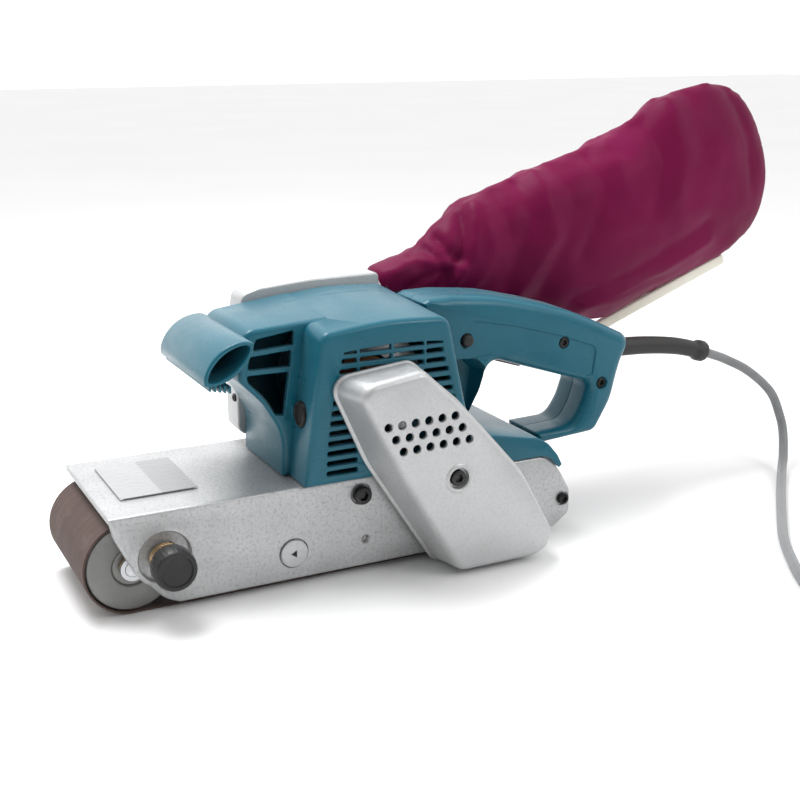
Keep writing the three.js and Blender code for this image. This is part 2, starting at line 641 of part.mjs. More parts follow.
function makeHandle() {
  const whole = outline(HANDLE_CORNERS);
  const triggerAngle = Math.atan2(79.1 - 102.6, 177.3 - 105.8);
  const slot = new THREE.BoxGeometry(27, 12.6, 26);
  slot.rotateY(-triggerAngle).translate(TRIGGER_X, 0, 100);
  const slotSolid = toSolid(slot);
  const cavity = outline(HANDLE_CORNERS, HANDLE_WALL);
  const screws = HANDLE_SCREWS;
  const half = (y0, y1, inner0, inner1) => {
    const tools = [slab(cavity, inner0, inner1), slotSolid, rod('x', 6.8 + GAP, 190, 215, [0, 94], 16)];
    return cut(slab(whole, y0, y1), ...tools);
  };
  const nearTools = screws.flatMap(([x, z]) => [
    rod('y', 3.6, -19, -15.2, [x, z], 14),
    rod('y', 2 + GAP, -19, 1, [x, z], 12),
  ]);
  nearTools.push(rod('y', 3.6 + GAP, -19, 0, [90, 115.1], 16));
  const nearBosses = screws.map(([x, z]) => rod('y', 5.5, -16, -0.15, [x, z], 14));
  const farBosses = screws.map(([x, z]) => rod('y', 5.5, 0.15, 16, [x, z], 14));
  place('handle_left', cut(
    join(half(-HANDLE_HALF, -0.15, -HANDLE_HALF + HANDLE_WALL, 1), ...nearBosses),
    ...nearTools,
  ), 'teal');
  place('handle_right', cut(
    join(half(0.15, HANDLE_HALF, -1, HANDLE_HALF - HANDLE_WALL), ...farBosses),
    ...screws.map(([x, z]) => rod('y', 2 + GAP, -1, 12, [x, z], 12)),
  ), 'teal');
  ['a', 'b'].forEach((letter, i) => {
    const [x, z] = screws[i];
    place(`handle_screw_${letter}`, screw(x, z, -18, 2.5, 3.3, 11, 2), 'black');
  });

  place('switch_block', box(112, 140, -9, 9, 112.8, 125), 'black');
  const trigger = new THREE.BoxGeometry(26, 12, 11);
  trigger.translate(0, 0, -1.4).rotateY(-triggerAngle).translate(TRIGGER_X, 0, 100);
  place('trigger', toSolid(trigger), 'black');
  place('lock_button', rod('y', 3.6, -20, -8, [90, 115.1], 16), 'black');
}

// The dust duct, its bag and the bag's fastener

function makeDuct() {
  const side = [
    [-30.5, 62, 6], [58, 62, 6], [66, 74, 10], [66, 113, 8], [59, 119, 8], [59, 148.3, 3], [15, 147.8],
    [-16, 145.6, 8], [-25, 143, 6], [-28, 128], [-30.5, 88],
  ];
  const body = slab(outline(side), DUCT_NEAR_Y, DUCT_FAR_Y);
  const hollow = slab(outline(side, DUCT_WALL), DUCT_NEAR_Y - 1, DUCT_FAR_Y - DUCT_WALL);
  const spout = rod('x', SPOUT_RADIUS, 57, 72, [SPOUT_Y, SPOUT_Z], 20);
  const bore = rod('x', SPOUT_RADIUS - 2, 52, 73, [SPOUT_Y, SPOUT_Z], 20);
  const intake = box(30, 54, DUCT_NEAR_Y + 3, DUCT_FAR_Y - 4, 58, 66);
  const screwAt = [37.5, 83];
  const screwHole = rod('x', 1.5 + GAP, -33, -24, screwAt, 10);
  place('dust_duct', cut(join(cut(body, hollow), spout), bore, intake, screwHole), 'silver');
  place('duct_screw', join(
    rod('x', 3, -33, -30.9, screwAt, 12),
    rod('x', 1.5, -32, -25, screwAt, 8),
  ), 'black');
}

// Stations along the bag: x, middle height, half height, half thickness, middle y.
const BAG_STATIONS = [
  [MOUTH_X, 135.2, 14.8, 14.4, SPOUT_Y],
  [72, 137.4, 17.4, 15.2, SPOUT_Y],
  [84, 140.4, 18.4, 15.6, BAG_Y],
  [104, 147.5, 27, 19, BAG_Y + 1],
  [134, 152, 39.2, 24, BAG_Y + 2],
  [172, 155.2, 49.8, 26, BAG_Y + 2.5],
  [210, 159.2, 58, 27, BAG_Y + 2.5],
  [246, 170.8, 62.8, 27, BAG_Y + 2],
  [286, 186.5, 64, 25, BAG_Y + 1],
  [318, 192.6, 58.6, 21, BAG_Y],
  [342, 189.5, 41, 14, BAG_Y],
  [357, 192, 18, 7, BAG_Y],
];

function bagSkin(shrink, startX) {
  return loft(BAG_STATIONS.map(([x, z, tall, thick, y], s) => {
    const points = [];
    for (let k = 0; k < 14; k += 1) {
      const angle = -(2 * Math.PI * k) / 14;
      const end = s === BAG_STATIONS.length - 1 ? shrink : 0;
      points.push(new THREE.Vector3(
        s === 0 ? startX : x - end,
        y + (thick - shrink) * Math.cos(angle),
        z + (tall - shrink) * Math.sin(angle),
      ));
    }
    return points;
  }));
}

function makeBag() {
  place('dust_bag', cut(bagSkin(0, MOUTH_X), bagSkin(BAG_CLOTH, MOUTH_X - 1.5)), 'cloth');
  place('bag_collar', ring('x', SPOUT_RADIUS + GAP, 11.6, MOUTH_X, 72, [SPOUT_Y, SPOUT_Z], 20), 'black');
  const strip = new THREE.BoxGeometry(112, 6, 8);
  strip.rotateY(-FASTENER_SLOPE).translate(276, BAG_Y + 1, 113.8);
  place('bag_fastener', toSolid(strip), 'cream');
}

// The cord: guard, free stretch, coil, tie and plug

const GUARD_LINE = [[190.5, 0, 94], [206, 0, 94.2], [230, 0, 93], [255, 0, 89.6], [277.2, 0, 83.6]];

const CORD_LINE = [
  [277.6, 0, 83.4], [287, 0, 79.9], [297, 0, 75.9], [316, -1.5, 66], [332.8, -6.1, 50.7],
  [339.6, -9.7, 34.2], [339.8, -14, 23.2], [334.1, -21.9, 10.8], [325.5, -30.6, 4.8],
  [303.6, -53.2, 3.2], [287.8, -70, 3.1], [248, -114, 3.1], [227.6, -141.6, 3.1],
  [211.5, -168, 3.1], [203.5, -190, 3.2], [203.5, -213, 3.5], [212.6, -232.5, 3.9],
];

const lineThrough = (points) => new THREE.CatmullRomCurve3(points.map((p) => new THREE.Vector3(...p)));

function makeCord() {
  const guardCurve = lineThrough(GUARD_LINE);
  const longer = [[189, 0, 94], ...GUARD_LINE.slice(1, -1), [278.5, 0, 83.2]];
  const sleeve = toSolid(tube(guardCurve, 5.7, 10, 7));
  const inside = rod('x', 7.6, 190.5, 194.8, [0, 94]);
  const lip = toSolid(tube(lineThrough([[270.5, 0, 85.7], [277.2, 0, 83.6]]), 6.8, 12, 1));
  const bore = toSolid(tube(lineThrough(longer), CORD_RADIUS + GAP, 8, 7));
  place('cord_guard', cut(join(sleeve, inside, lip), bore), 'black');
  place('cord', toSolid(tube(lineThrough(CORD_LINE), CORD_RADIUS, 8, 30)), 'grey');

  const coilAt = [COIL_X, COIL_Y];
  const inner = COIL_MEAN_RADIUS - COIL_HALF_WIDTH;
  const outer = COIL_MEAN_RADIUS + COIL_HALF_WIDTH;
  place('cord_coil', ring('z', inner, outer, COIL_BOTTOM_Z, COIL_TOP_Z, coilAt, 32), 'grey');
  const strap = (grow, halfWidth) => box(
    COIL_X + inner - grow, COIL_X + outer + grow,
    COIL_Y - halfWidth, COIL_Y + halfWidth,
    COIL_BOTTOM_Z - grow, COIL_TOP_Z + grow,
  );
  place('cord_tie', cut(strap(1.1, 4), strap(GAP + 0.1, 5)), 'black');

  const plugShape = new THREE.Shape(outline([
    [-42, -6], [-14, -16, 14], [8, -16, 3], [8, 16, 3], [-14, 16, 14], [-42, 6],
  ]));
  const plugBody = new THREE.ExtrudeGeometry(plugShape, { depth: PLUG_THICKNESS, bevelEnabled: false });
  plugBody.translate(PLUG_X, PLUG_Y, COIL_TOP_Z + GAP);
  const pins = [-9.5, 9.5].map((y) => (
    rod('x', 2.4, PLUG_X + 7, PLUG_X + 27, [PLUG_Y + y, COIL_TOP_Z + GAP + PLUG_THICKNESS / 2], 10)
  ));
  place('mains_plug', join(toSolid(plugBody), ...pins), 'black');
}

makeBelt();
makeBase();
makeRollers();
makeCarriage();
makeHousing();
makeMotor();
makeDrive();
makeCover();
makeRearGuard();
makeHandle();
makeDuct();
makeBag();
makeCord();

export default model;
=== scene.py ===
import math

import bmesh
import bpy
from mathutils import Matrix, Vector, noise


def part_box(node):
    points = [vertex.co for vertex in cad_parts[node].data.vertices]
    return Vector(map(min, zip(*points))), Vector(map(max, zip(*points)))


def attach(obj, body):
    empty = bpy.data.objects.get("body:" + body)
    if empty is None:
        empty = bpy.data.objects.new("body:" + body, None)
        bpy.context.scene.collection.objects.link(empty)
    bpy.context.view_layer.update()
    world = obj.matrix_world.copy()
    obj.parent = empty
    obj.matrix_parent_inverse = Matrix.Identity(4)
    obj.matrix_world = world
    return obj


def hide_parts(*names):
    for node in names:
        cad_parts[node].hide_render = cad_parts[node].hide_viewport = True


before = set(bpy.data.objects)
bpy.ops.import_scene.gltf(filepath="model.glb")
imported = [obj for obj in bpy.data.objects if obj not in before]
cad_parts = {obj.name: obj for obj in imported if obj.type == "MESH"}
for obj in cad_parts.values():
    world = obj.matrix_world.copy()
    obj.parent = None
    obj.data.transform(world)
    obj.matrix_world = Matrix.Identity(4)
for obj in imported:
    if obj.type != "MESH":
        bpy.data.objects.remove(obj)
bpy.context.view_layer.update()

# Handheld belt sander with a cloth dust bag. Shapes are written in millimetres in the frame's own
# axes (-X front, +X cord end, -Y drive cover, +Z up), and MM turns them into metres.
MM = 0.001
CORD_RADIUS = 3.0
AXLE_Z = 25.0
BELT_RADIUS = 25.0
BELT_HALF_WIDTH = 38.0
HALF_BASE = (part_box("abrasive_belt")[1].x / MM) - BELT_RADIUS
DECK_TOP = 55.0
WALL_Y = -45.0
HOUSING_NEAR_Y = -50.0
HOUSING_STEP_Y = -27.0
HOUSING_FAR_Y = 32.0
TOP_RISE = 4.2
SPOUT_AT = (44, 135.5)
MOTOR_BOSS_AT = (78, 29.25)
KNOB_AT = (-99, 30.5)
PLUG_HOLE_AT = (-29.5, 19)
TOP_SCREW_AT = (9.9, 45.5)
REAR_SCREW_AT = (140, 20.7)
COVER_SCREW = (52.7, 57.2)
LOCK_AT = (90, 115.1)
HANDLE_SCREWS = ((156.7, 106.4), (184.9, 78.3))


# ---------------------------------------------------------------- camera

def make_camera():
    data = bpy.data.cameras.new("camera")
    data.sensor_width = 36
    data.lens = 56.57
    data.clip_start = 0.02
    camera = bpy.data.objects.new("camera", data)
    bpy.context.collection.objects.link(camera)
    target = Vector((56.3, 0, 80)) * MM
    azimuth = math.radians(-27.0)
    elevation = math.radians(16.41)
    back = Vector((
        math.sin(azimuth) * math.cos(elevation),
        -math.cos(azimuth) * math.cos(elevation),
        math.sin(elevation),
    ))
    camera.location = target + back * 0.7227
    camera.rotation_mode = "QUATERNION"
    camera.rotation_quaternion = (-back).to_track_quat("-Z", "Y")
    bpy.context.scene.camera = camera


# ---------------------------------------------------------------- outlines in the XZ plane

def shrink(corners, distance, step):
    """Corners [x, z, radius, share] of an anticlockwise outline, moved inwards by a distance.

    The share, 1 unless it is given, is how much of the distance the corner moves. Each result is
    the corner, its radius and the number of steps round its arc.
    """
    moved = []
    for i, corner in enumerate(corners):
        here = Vector(corner[:2])
        radius = corner[2] if len(corner) > 2 else 0
        reach = distance * (corner[3] if len(corner) > 3 else 1)
        into = (here - Vector(corners[i - 1][:2])).normalized()
        away = (Vector(corners[(i + 1) % len(corners)][:2]) - here).normalized()
        a = Vector((-into.y, into.x))
        b = Vector((-away.y, away.x))
        here = here + (a + b) * (reach / (1 + a.dot(b)))
        turn = into.x * away.y - into.y * away.x
        radius = max(radius - math.copysign(reach, turn), 0.4) if radius else 0
        moved.append((here, radius, max(2, math.ceil(into.angle(away) / step))))
    return moved


def outline(corners, distance=0.0, step=0.13, steps=0):
    points = []
    moved = shrink(corners, distance, step)
    for i, (corner, radius, count) in enumerate(moved):
        count = steps or count
        if not radius:
            points.append(corner)
            continue
        back = moved[i - 1][0] - corner
        ahead = moved[(i + 1) % len(moved)][0] - corner
        half = back.angle(ahead) / 2
        reach = min(radius / math.tan(half), 0.48 * back.length, 0.48 * ahead.length)
        back.normalize()
        ahead.normalize()
        centre = corner + (back + ahead).normalized() * (reach / math.cos(half))
        start = corner + back * reach - centre
        turn = math.copysign(math.pi - 2 * half, ahead.x * back.y - ahead.y * back.x)
        for k in range(count + 1):
            angle = turn * k / count
            c, s = math.cos(angle), math.sin(angle)
            points.append(centre + Vector((start.x * c - start.y * s, start.x * s + start.y * c)))
    return points


def rounded(y0, y1, near=1.0, far=1.0, steps=4):
    """Stations [y, inset] of a slab from y0 to y1 whose two rims are rounded."""
    stations = []
    for k in range(steps + 1):
        angle = math.pi / 2 * k / steps
        stations.append((y0 + near * (1 - math.cos(angle)), near * (1 - math.sin(angle))))
    for k in range(steps + 1):
        angle = math.pi / 2 * (1 - k / steps)
        stations.append((y1 - far * (1 - math.cos(angle)), far * (1 - math.sin(angle))))
    return stations


def tray(corners, stations):
    """A stack of rings: the outline at each station [y, inset]."""
    return [[(p.x, y, p.y) for p in outline(corners, inset)] for y, inset in stations]


def leaning(near_corners, far_corners, stations):
    """Rings between two outlines, corner for corner, at stations [y, lean, inset]."""
    rings = []
    for y, lean, inset in stations:
        corners = [
            (a[0] + (b[0] - a[0]) * lean, a[1] + (b[1] - a[1]) * lean, a[2])
            for a, b in zip(near_corners, far_corners)
        ]
        rings.append([(p.x, y, p.y) for p in outline(corners, inset, steps=10)])
    return rings


def slab(corners, y0, y1, near=1.0, far=1.0):
    return tray(corners, rounded(y0, y1, near, far))


def opening(corners, y0, y1, flare_at=None, flare=0.45):
    """A cutter through a wall, a little wider at the wall's face."""
    if flare_at is None:
        return tray(corners, [(y0, 0), (y1, 0)])
    return tray(corners, [(y0, -flare), (flare_at, -flare), (flare_at + flare, 0), (y1, 0)])


def rectangle(x0, x1, z0, z1, radius=0.0):
    corners = [(x0, z0), (x1, z0), (x1, z1), (x0, z1)]
    return [(*corner, radius) for corner in corners] if radius else corners


def turned(profile, at, axis="y", sides=48, shape=None):
    """A stack of rings about an axis: the profile is [along, radius]."""
    rings = []
    for along, radius in profile:
        ring = []
        for k in range(sides):
            angle = 2 * math.pi * k / sides
            reach = radius * (shape(angle, along) if shape else 1)
            u, v = at[0] + reach * math.cos(angle), at[1] + reach * math.sin(angle)
            ring.append({"x": (along, u, v), "y": (u, along, v), "z": (u, v, along)}[axis])
        rings.append(ring)
    return rings


def squared(wide, tall, wide_power, tall_power, sides, turn=1):
    """Points round an oval that grows squarer as its powers shrink, as (across, up)."""
    points = []
    for k in range(sides):
        angle = turn * 2 * math.pi * k / sides
        c, s = math.cos(angle), math.sin(angle)
        across = wide * math.copysign(abs(c) ** wide_power, c)
        points.append((across, tall * math.copysign(abs(s) ** tall_power, s)))
    return points


def rod(radius, y0, y1, at, axis="y", sides=32, edge=0.0):
    if not edge:
        return turned([(y0, radius), (y1, radius)], at, axis, sides)
    profile = [(y0, radius - edge), (y0 + edge, radius), (y1 - edge, radius), (y1, radius - edge)]
    return turned(profile, at, axis, sides)


def tilted(x, z, slope, along, up):
    """A place in a plane square to Y, measured from (x, z) along a slope and square to it."""
    c, s = math.cos(slope), math.sin(slope)
    return x + along * c - up * s, z + along * s + up * c


def block(x0, x1, y0, y1, z0, z1, radius=0.8):
    return slab(rectangle(x0, x1, z0, z1, radius), y0, y1, radius, radius)


# ---------------------------------------------------------------- meshes

def solid(name, *stacks, endless=False):
    """One mesh holding a closed body for each stack of rings. An endless stack joins up with itself."""
    mesh = bpy.data.meshes.new(name)
    work = bmesh.new()
    for stack in stacks:
        rows = [[work.verts.new(Vector(p) * MM) for p in ring] for ring in stack]
        following = rows[1:] + rows[:1] if endless else rows[1:]
        for low, high in zip(rows, following):
            for i in range(len(low)):
                j = (i + 1) % len(low)
                work.faces.new((low[i], low[j], high[j], high[i]))
        if not endless:
            work.faces.new(rows[0][::-1])
            work.faces.new(rows[-1])
    bmesh.ops.recalc_face_normals(work, faces=work.faces)
    work.to_mesh(mesh)
    work.free()
    obj = bpy.data.objects.new(name, mesh)
    bpy.context.collection.objects.link(obj)
    return obj


def settle(obj):
    """Applies the modifiers that the piece has."""
    bpy.context.view_layer.update()
    graph = bpy.context.evaluated_depsgraph_get()
    mesh = bpy.data.meshes.new_from_object(obj.evaluated_get(graph))
    obj.modifiers.clear()
    obj.data = mesh
    return obj


def combine(obj, operation, *stacks):
    """Joins stacks to a piece, or cuts them from it."""
    tool = solid("tool", *stacks)
    modifier = obj.modifiers.new("combine", "BOOLEAN")
    modifier.object = tool
    modifier.operation = operation
    modifier.solver = "EXACT"
    modifier.use_self = len(stacks) > 1 and operation == "UNION"
    settle(obj)
    bpy.data.objects.remove(tool)
    return obj


def join(obj, *stacks):
    for stack in stacks:
        combine(obj, "UNION", stack)
    return obj


def cut(obj, *stacks):
    return combine(obj, "DIFFERENCE", *stacks)


def piece(obj, body, material, slot, *nodes, smooth=32):
    """Finishes a piece: its shading, material, body and the CAD nodes that it stands for."""
    if obj.type == "MESH":
        for face in obj.data.polygons:
            face.use_smooth = True
        obj.data.set_sharp_from_angle(angle=math.radians(smooth))
    obj.data.materials.clear()
    obj.data.materials.append(material)
    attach(obj, body)
    if nodes:
        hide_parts(*nodes)
    return obj


def spline(points, count):
    """Evenly timed points on a smooth curve through the given ones."""
    knots = [Vector(p) for p in points]
    knots = [2 * knots[0] - knots[1], *knots, 2 * knots[-1] - knots[-2]]
    line = []
    spans = len(knots) - 3
    for k in range(count + 1):
        t = min(k / count * spans, spans - 1e-9)
        i = int(t)
        t -= i
        a, b, c, d = knots[i:i + 4]
        line.append(0.5 * (
            2 * b + (c - a) * t + (2 * a - 5 * b + 4 * c - d) * t ** 2
            + (3 * b - a - 3 * c + d) * t ** 3
        ))
    return line


def swept(path, radii, sides=24):
    """A stack of rings across a path, with one radius for each of its points."""
    rings = []
    side = Vector((0, 1, 0))
    for i, point in enumerate(path):
        ahead = (path[min(i + 1, len(path) - 1)] - path[max(i - 1, 0)]).normalized()
        side = (side - ahead * side.dot(ahead)).normalized()
        up = ahead.cross(side)
        rings.append([
            point + (side * math.cos(a) + up * math.sin(a)) * radii[i]
            for a in (2 * math.pi * k / sides for k in range(sides))
        ])
    return rings


# ---------------------------------------------------------------- materials

class Paint:
    """Builds one node material on the object's own coordinates, which are the frame's metres."""

    def __init__(self, name, roughness, metallic=0.0, **sockets):
        self.material = bpy.data.materials.new(name)
        self.material.use_nodes = True
        self.tree = self.material.node_tree
        self.shader = self.tree.nodes["Principled BSDF"]
        self.shader.inputs["Roughness"].default_value = roughness
        self.shader.inputs["Metallic"].default_value = metallic
        for socket, value in sockets.items():
            self.shader.inputs[socket.replace("_", " ")].default_value = value
        self.place = self.node("ShaderNodeTexCoord").outputs["Object"]

    def node(self, kind, inputs=(), **settings):
        node = self.tree.nodes.new(kind)
        for key, value in settings.items():
            setattr(node, key, value)
        for key, value in dict(inputs).items():
            if isinstance(value, bpy.types.NodeSocket):
                self.tree.links.new(value, node.inputs[key])
            else:
                node.inputs[key].default_value = value
        return node

    def noise(self, scale, detail=2.0, rough=0.5, where=None):
        inputs = {"Vector": where or self.place, "Scale": scale, "Detail": detail, "Roughness": rough}
        return self.node("ShaderNodeTexNoise", inputs).outputs["Fac"]

    def stretch(self, x, y, z):
        inputs = {"Vector": self.place, "Scale": (x, y, z)}
        return self.node("ShaderNodeMapping", inputs).outputs["Vector"]

    def spread(self, value, low, high, start=0.3, end=0.7):
        inputs = {0: value, 1: start, 2: end, 3: low, 4: high}
        return self.node("ShaderNodeMapRange", inputs).outputs[0]

    def sum(self, a, b, operation="ADD"):
        return self.node("ShaderNodeMath", {0: a, 1: b}, operation=operation).outputs[0]

    def mix(self, factor, a, b):
        node = self.node("ShaderNodeMix", {0: factor}, data_type="RGBA")
        for socket, value in ((node.inputs[6], a), (node.inputs[7], b)):
            if isinstance(value, bpy.types.NodeSocket):
                self.tree.links.new(value, socket)
            else:
                socket.default_value = (*value, 1)
        return node.outputs[2]

    def use(self, socket, value):
        self.tree.links.new(value, self.shader.inputs[socket])

    def bump(self, height, strength, distance):
        inputs = {"Height": height, "Strength": strength, "Distance": distance}
        self.use("Normal", self.node("ShaderNodeBump", inputs).outputs["Normal"])


def moulded(name, dark, light, roughness, grain=1500, depth=0.12):
    """Moulded plastic: faint flow patches, fine spark-eroded grain and a few dull smudges."""
    paint = Paint(name, roughness, Specular_IOR_Level=0.34, Sheen_Weight=0.3, Sheen_Roughness=0.28)
    patches = paint.noise(22, 3)
    fine = paint.noise(grain, 2, 0.6)
    smudges = paint.noise(60, 4, 0.65, paint.stretch(1, 1, 2.5))
    paint.use("Base Color", paint.mix(paint.spread(patches, 0, 1), dark, light))
    paint.use("Roughness", paint.sum(
        paint.spread(smudges, roughness - 0.05, roughness + 0.07),
        paint.spread(fine, -0.02, 0.03),
    ))
    paint.bump(fine, depth, 0.0002)
    return paint.material


def cast_metal(name, dark, light, roughness, metallic=0.55, speckle=0.42):
    """Painted casting: a hammered silver speckle about a millimetre across, over soft grey patches."""
    paint = Paint(name, roughness, metallic)
    patches = paint.noise(26, 4, 0.6)
    grain = paint.noise(620, 2, 0.65)
    fleck = paint.noise(1700, 2, 0.7)
    tone = paint.mix(paint.spread(patches, 0, 1), dark, light)
    tone = paint.mix(paint.spread(grain, 0, speckle, 0.5, 0.7), tone, tuple(c * 0.55 for c in dark))
    paint.use("Base Color", paint.mix(paint.spread(fleck, 0, 0.5, 0.6, 0.75), tone, (0.75, 0.76, 0.77)))
    paint.use("Roughness", paint.sum(
        paint.spread(grain, roughness - 0.08, roughness + 0.14),
        paint.spread(patches, -0.03, 0.04),
    ))
    paint.bump(grain, 0.35 * speckle, 0.0003)
    return paint.material


def machined(name, dark, light, roughness, along=(1, 12, 1), metallic=1.0):
    """Bare machined metal: fine tool marks stretched across one axis."""
    paint = Paint(name, roughness, metallic)
    marks = paint.noise(160, 4, 0.7, paint.stretch(*along))
    patches = paint.noise(40, 2)
    paint.use("Base Color", paint.mix(paint.spread(patches, 0, 1), dark, light))
    paint.use("Roughness", paint.spread(marks, roughness - 0.07, roughness + 0.12))
    paint.bump(marks, 0.12, 0.0002)
    return paint.material


def abrasive(name):
    """Abrasive cloth: coarse grit on a maroon-brown coat, a little clogged with pale dust."""
    paint = Paint(name, 0.82)
    grit = paint.noise(1900, 2, 0.75)
    clog = paint.noise(70, 5, 0.65)
    streaks = paint.noise(45, 3, 0.6, paint.stretch(0.35, 4, 0.35))
    coat = paint.mix(paint.spread(grit, 0, 1, 0.35, 0.65), (0.030, 0.018, 0.015), (0.115, 0.068, 0.056))
    coat = paint.mix(paint.spread(streaks, 0, 0.35), coat, (0.15, 0.10, 0.085))
    paint.use("Base Color", paint.mix(paint.spread(clog, 0, 0.4, 0.55, 0.75), coat, (0.22, 0.175, 0.15)))
    paint.use("Roughness", paint.spread(grit, 0.6, 0.95))
    paint.bump(grit, 0.7, 0.0005)
    return paint.material


def bag_cloth(name):
    """Burgundy woven nylon, with painted fold shade in broad light and dark patches and a painted
    highlight, a little paler, where its threads cross.
    """
    paint = Paint(name, 0.5, Specular_IOR_Level=0.08)
    threads = {"Vector": paint.place, "Scale": 420.0, "Distortion": 1.2, "Detail": 1.0, "Detail Scale": 0.4}
    warp, weft = (
        paint.node("ShaderNodeTexWave", threads, bands_direction=way).outputs["Fac"] for way in "XZ"
    )
    weave_and_highlight = paint.sum(warp, weft, "MULTIPLY")
    folds = paint.noise(16, 3, 0.55)
    lint = paint.noise(260, 3, 0.7)
    # Painted fold shade: the cloth's colour goes lighter and darker in broad noise patches.
    tone = paint.mix(paint.spread(folds, 0, 1), (0.112, 0.003, 0.032), (0.160, 0.005, 0.050))
    # Painted highlight: the cloth is a little paler where its threads cross.
    tone = paint.mix(paint.spread(weave_and_highlight, 0, 0.28, 0.1, 0.7), tone, (0.200, 0.010, 0.070))
    paint.use("Base Color", paint.mix(paint.spread(lint, 0, 0.08, 0.6, 0.8), tone, (0.24, 0.04, 0.11)))
    paint.use("Roughness", paint.spread(weave_and_highlight, 0.42, 0.6, 0.0, 0.8))
    paint.bump(weave_and_highlight, 0.22, 0.00025)
    return paint.material


def rubber(name, dark, light, roughness=0.6):
    paint = Paint(name, roughness)
    dust = paint.noise(90, 4, 0.7)
    fine = paint.noise(1300, 2, 0.6)
    paint.use("Base Color", paint.mix(paint.spread(dust, 0, 1), dark, light))
    paint.use("Roughness", paint.spread(dust, roughness - 0.08, roughness + 0.1))
    paint.bump(fine, 0.15, 0.0002)
    return paint.material


def nameplate(name):
    """A brushed plate: blank, with one darker panel and faint rolling marks."""
    paint = Paint(name, 0.42, 0.25)
    marks = paint.noise(120, 4, 0.7, paint.stretch(1, 14, 1))
    split = paint.node("ShaderNodeSeparateXYZ", {0: paint.place}).outputs["X"]
    panel = paint.spread(split, 0, 1, -0.0925, -0.0915)
    tone = paint.mix(panel, (0.43, 0.435, 0.44), (0.30, 0.305, 0.31))
    paint.use("Base Color", paint.mix(paint.spread(marks, 0, 0.4), tone, (0.37, 0.375, 0.38)))
    paint.use("Roughness", paint.spread(marks, 0.22, 0.42))
    paint.bump(marks, 0.1, 0.0002)
    return paint.material


TEAL = moulded("teal_plastic", (0.005, 0.098, 0.145), (0.008, 0.116, 0.168), 0.30)
SILVER = cast_metal("silver_casting", (0.42, 0.425, 0.43), (0.52, 0.525, 0.53), 0.42)
SMOOTH_SILVER = cast_metal("silver_cover", (0.46, 0.465, 0.47), (0.53, 0.535, 0.54), 0.40, 0.5, 0.15)
STEEL = machined("steel", (0.42, 0.43, 0.45), (0.58, 0.59, 0.61), 0.30)
DRUM = machined("roller_metal", (0.17, 0.17, 0.165), (0.25, 0.25, 0.24), 0.42, (1, 1, 1), 0.7)
BRONZE = machined("bronze_wire", (0.36, 0.25, 0.14), (0.52, 0.38, 0.22), 0.34, (8, 1, 8))
COPPER = machined("copper_winding", (0.45, 0.20, 0.10), (0.60, 0.30, 0.16), 0.4, (1, 20, 1))
SCREW = machined("blackened_screw", (0.016, 0.016, 0.016), (0.050, 0.050, 0.051), 0.36, (3, 3, 3), 0.8)
BLACK = moulded("black_plastic", (0.012, 0.012, 0.013), (0.022, 0.022, 0.023), 0.42)
CAP = moulded("brush_cap_plastic", (0.009, 0.007, 0.006), (0.018, 0.014, 0.012), 0.5)
RUBBER = rubber("black_rubber", (0.012, 0.012, 0.012), (0.026, 0.025, 0.024), 0.55)
CORD = rubber("grey_cord_jacket", (0.165, 0.172, 0.178), (0.225, 0.232, 0.240), 0.45)
GRAPHITE = rubber("graphite_pad", (0.02, 0.02, 0.021), (0.045, 0.045, 0.047), 0.7)
CREAM = moulded("cream_plastic", (0.72, 0.68, 0.58), (0.82, 0.79, 0.70), 0.38)
ABRASIVE = abrasive("abrasive_cloth")
CLOTH = bag_cloth("bag_nylon")
PLATE = nameplate("blank_nameplate")


# ---------------------------------------------------------------- the cord, first of all

CORD_LINE = [
    (277.6, 0, 83.4), (287, 0, 79.9), (297, 0, 75.9), (316, -1.5, 66), (332.8, -6.1, 50.7),
    (339.6, -9.7, 34.2), (339.8, -14, 23.2), (334.1, -21.9, 10.8), (325.5, -30.6, 4.8),
    (303.6, -53.2, 3.2), (287.8, -70, 3.1), (248, -114, 3.1), (227.6, -141.6, 3.1),
    (211.5, -168, 3.1), (203.5, -190, 3.2), (203.5, -213, 3.5), (212.6, -232.5, 3.9),
]
COIL_AT = (252.0, -206.0)
COIL_RADIUS = 35.0
COIL_PITCH = 6.25
COIL_LOW_Z = 4.2
PLUG_AT = Vector((288.0, -235.0, 27.25))


def smoothstep(t):
    t = min(max(t, 0.0), 1.0)
    return t * t * (3 - 2 * t)


def round_coil(angle, radius, z):
    return Vector((COIL_AT[0] + radius * math.cos(angle), COIL_AT[1] + radius * math.sin(angle), z))


def coil_points():
    """Nine turns, three side by side and three high. Each turn climbs, then moves over, in the same
    stretch of the circle."""
    columns = [1, 0, -1, -1, 0, 1, 1, 0, -1]
    layers = [0, 0, 0, 1, 1, 1, 2, 2, 2]
    start = math.radians(214)
    steps = 30
    points = []
    for k in range(1, len(columns) * steps + 1):
        angle = start + 2 * math.pi * k / steps
        turn = (k - 1) // steps
        t = (k - turn * steps) / steps
        before = columns[turn - 1] if turn else 2
        across = before + (columns[turn] - before) * smoothstep(t / 0.17)
        rise = layers[turn]
        if turn + 1 < len(layers):
            rise += (layers[turn + 1] - layers[turn]) * smoothstep((t - 0.83) / 0.17)
        radius = COIL_RADIUS + COIL_PITCH * across
        points.append(round_coil(angle, radius, COIL_LOW_Z + COIL_PITCH * rise))
    return points


def tail_points(last):
    """The last turn rises over the coil's west side and runs straight into the plug."""
    first = math.atan2(last.y - COIL_AT[1], last.x - COIL_AT[0])
    goal = math.radians(262 - 360 if first < 0 else 262)
    outer = (last.xy - Vector(COIL_AT)).length
    inner = COIL_RADIUS - COIL_PITCH
    tail = []
    for k in range(1, 11):
        t = k / 10
        blend = smoothstep(t)
        radius = outer + (inner - outer) * blend
        height = last.z + (PLUG_AT.z - last.z) * blend
        tail.append(round_coil(first + (goal - first) * t, radius, height))
    tail.append(Vector((PLUG_AT.x - 40, PLUG_AT.y, PLUG_AT.z)))
    return tail


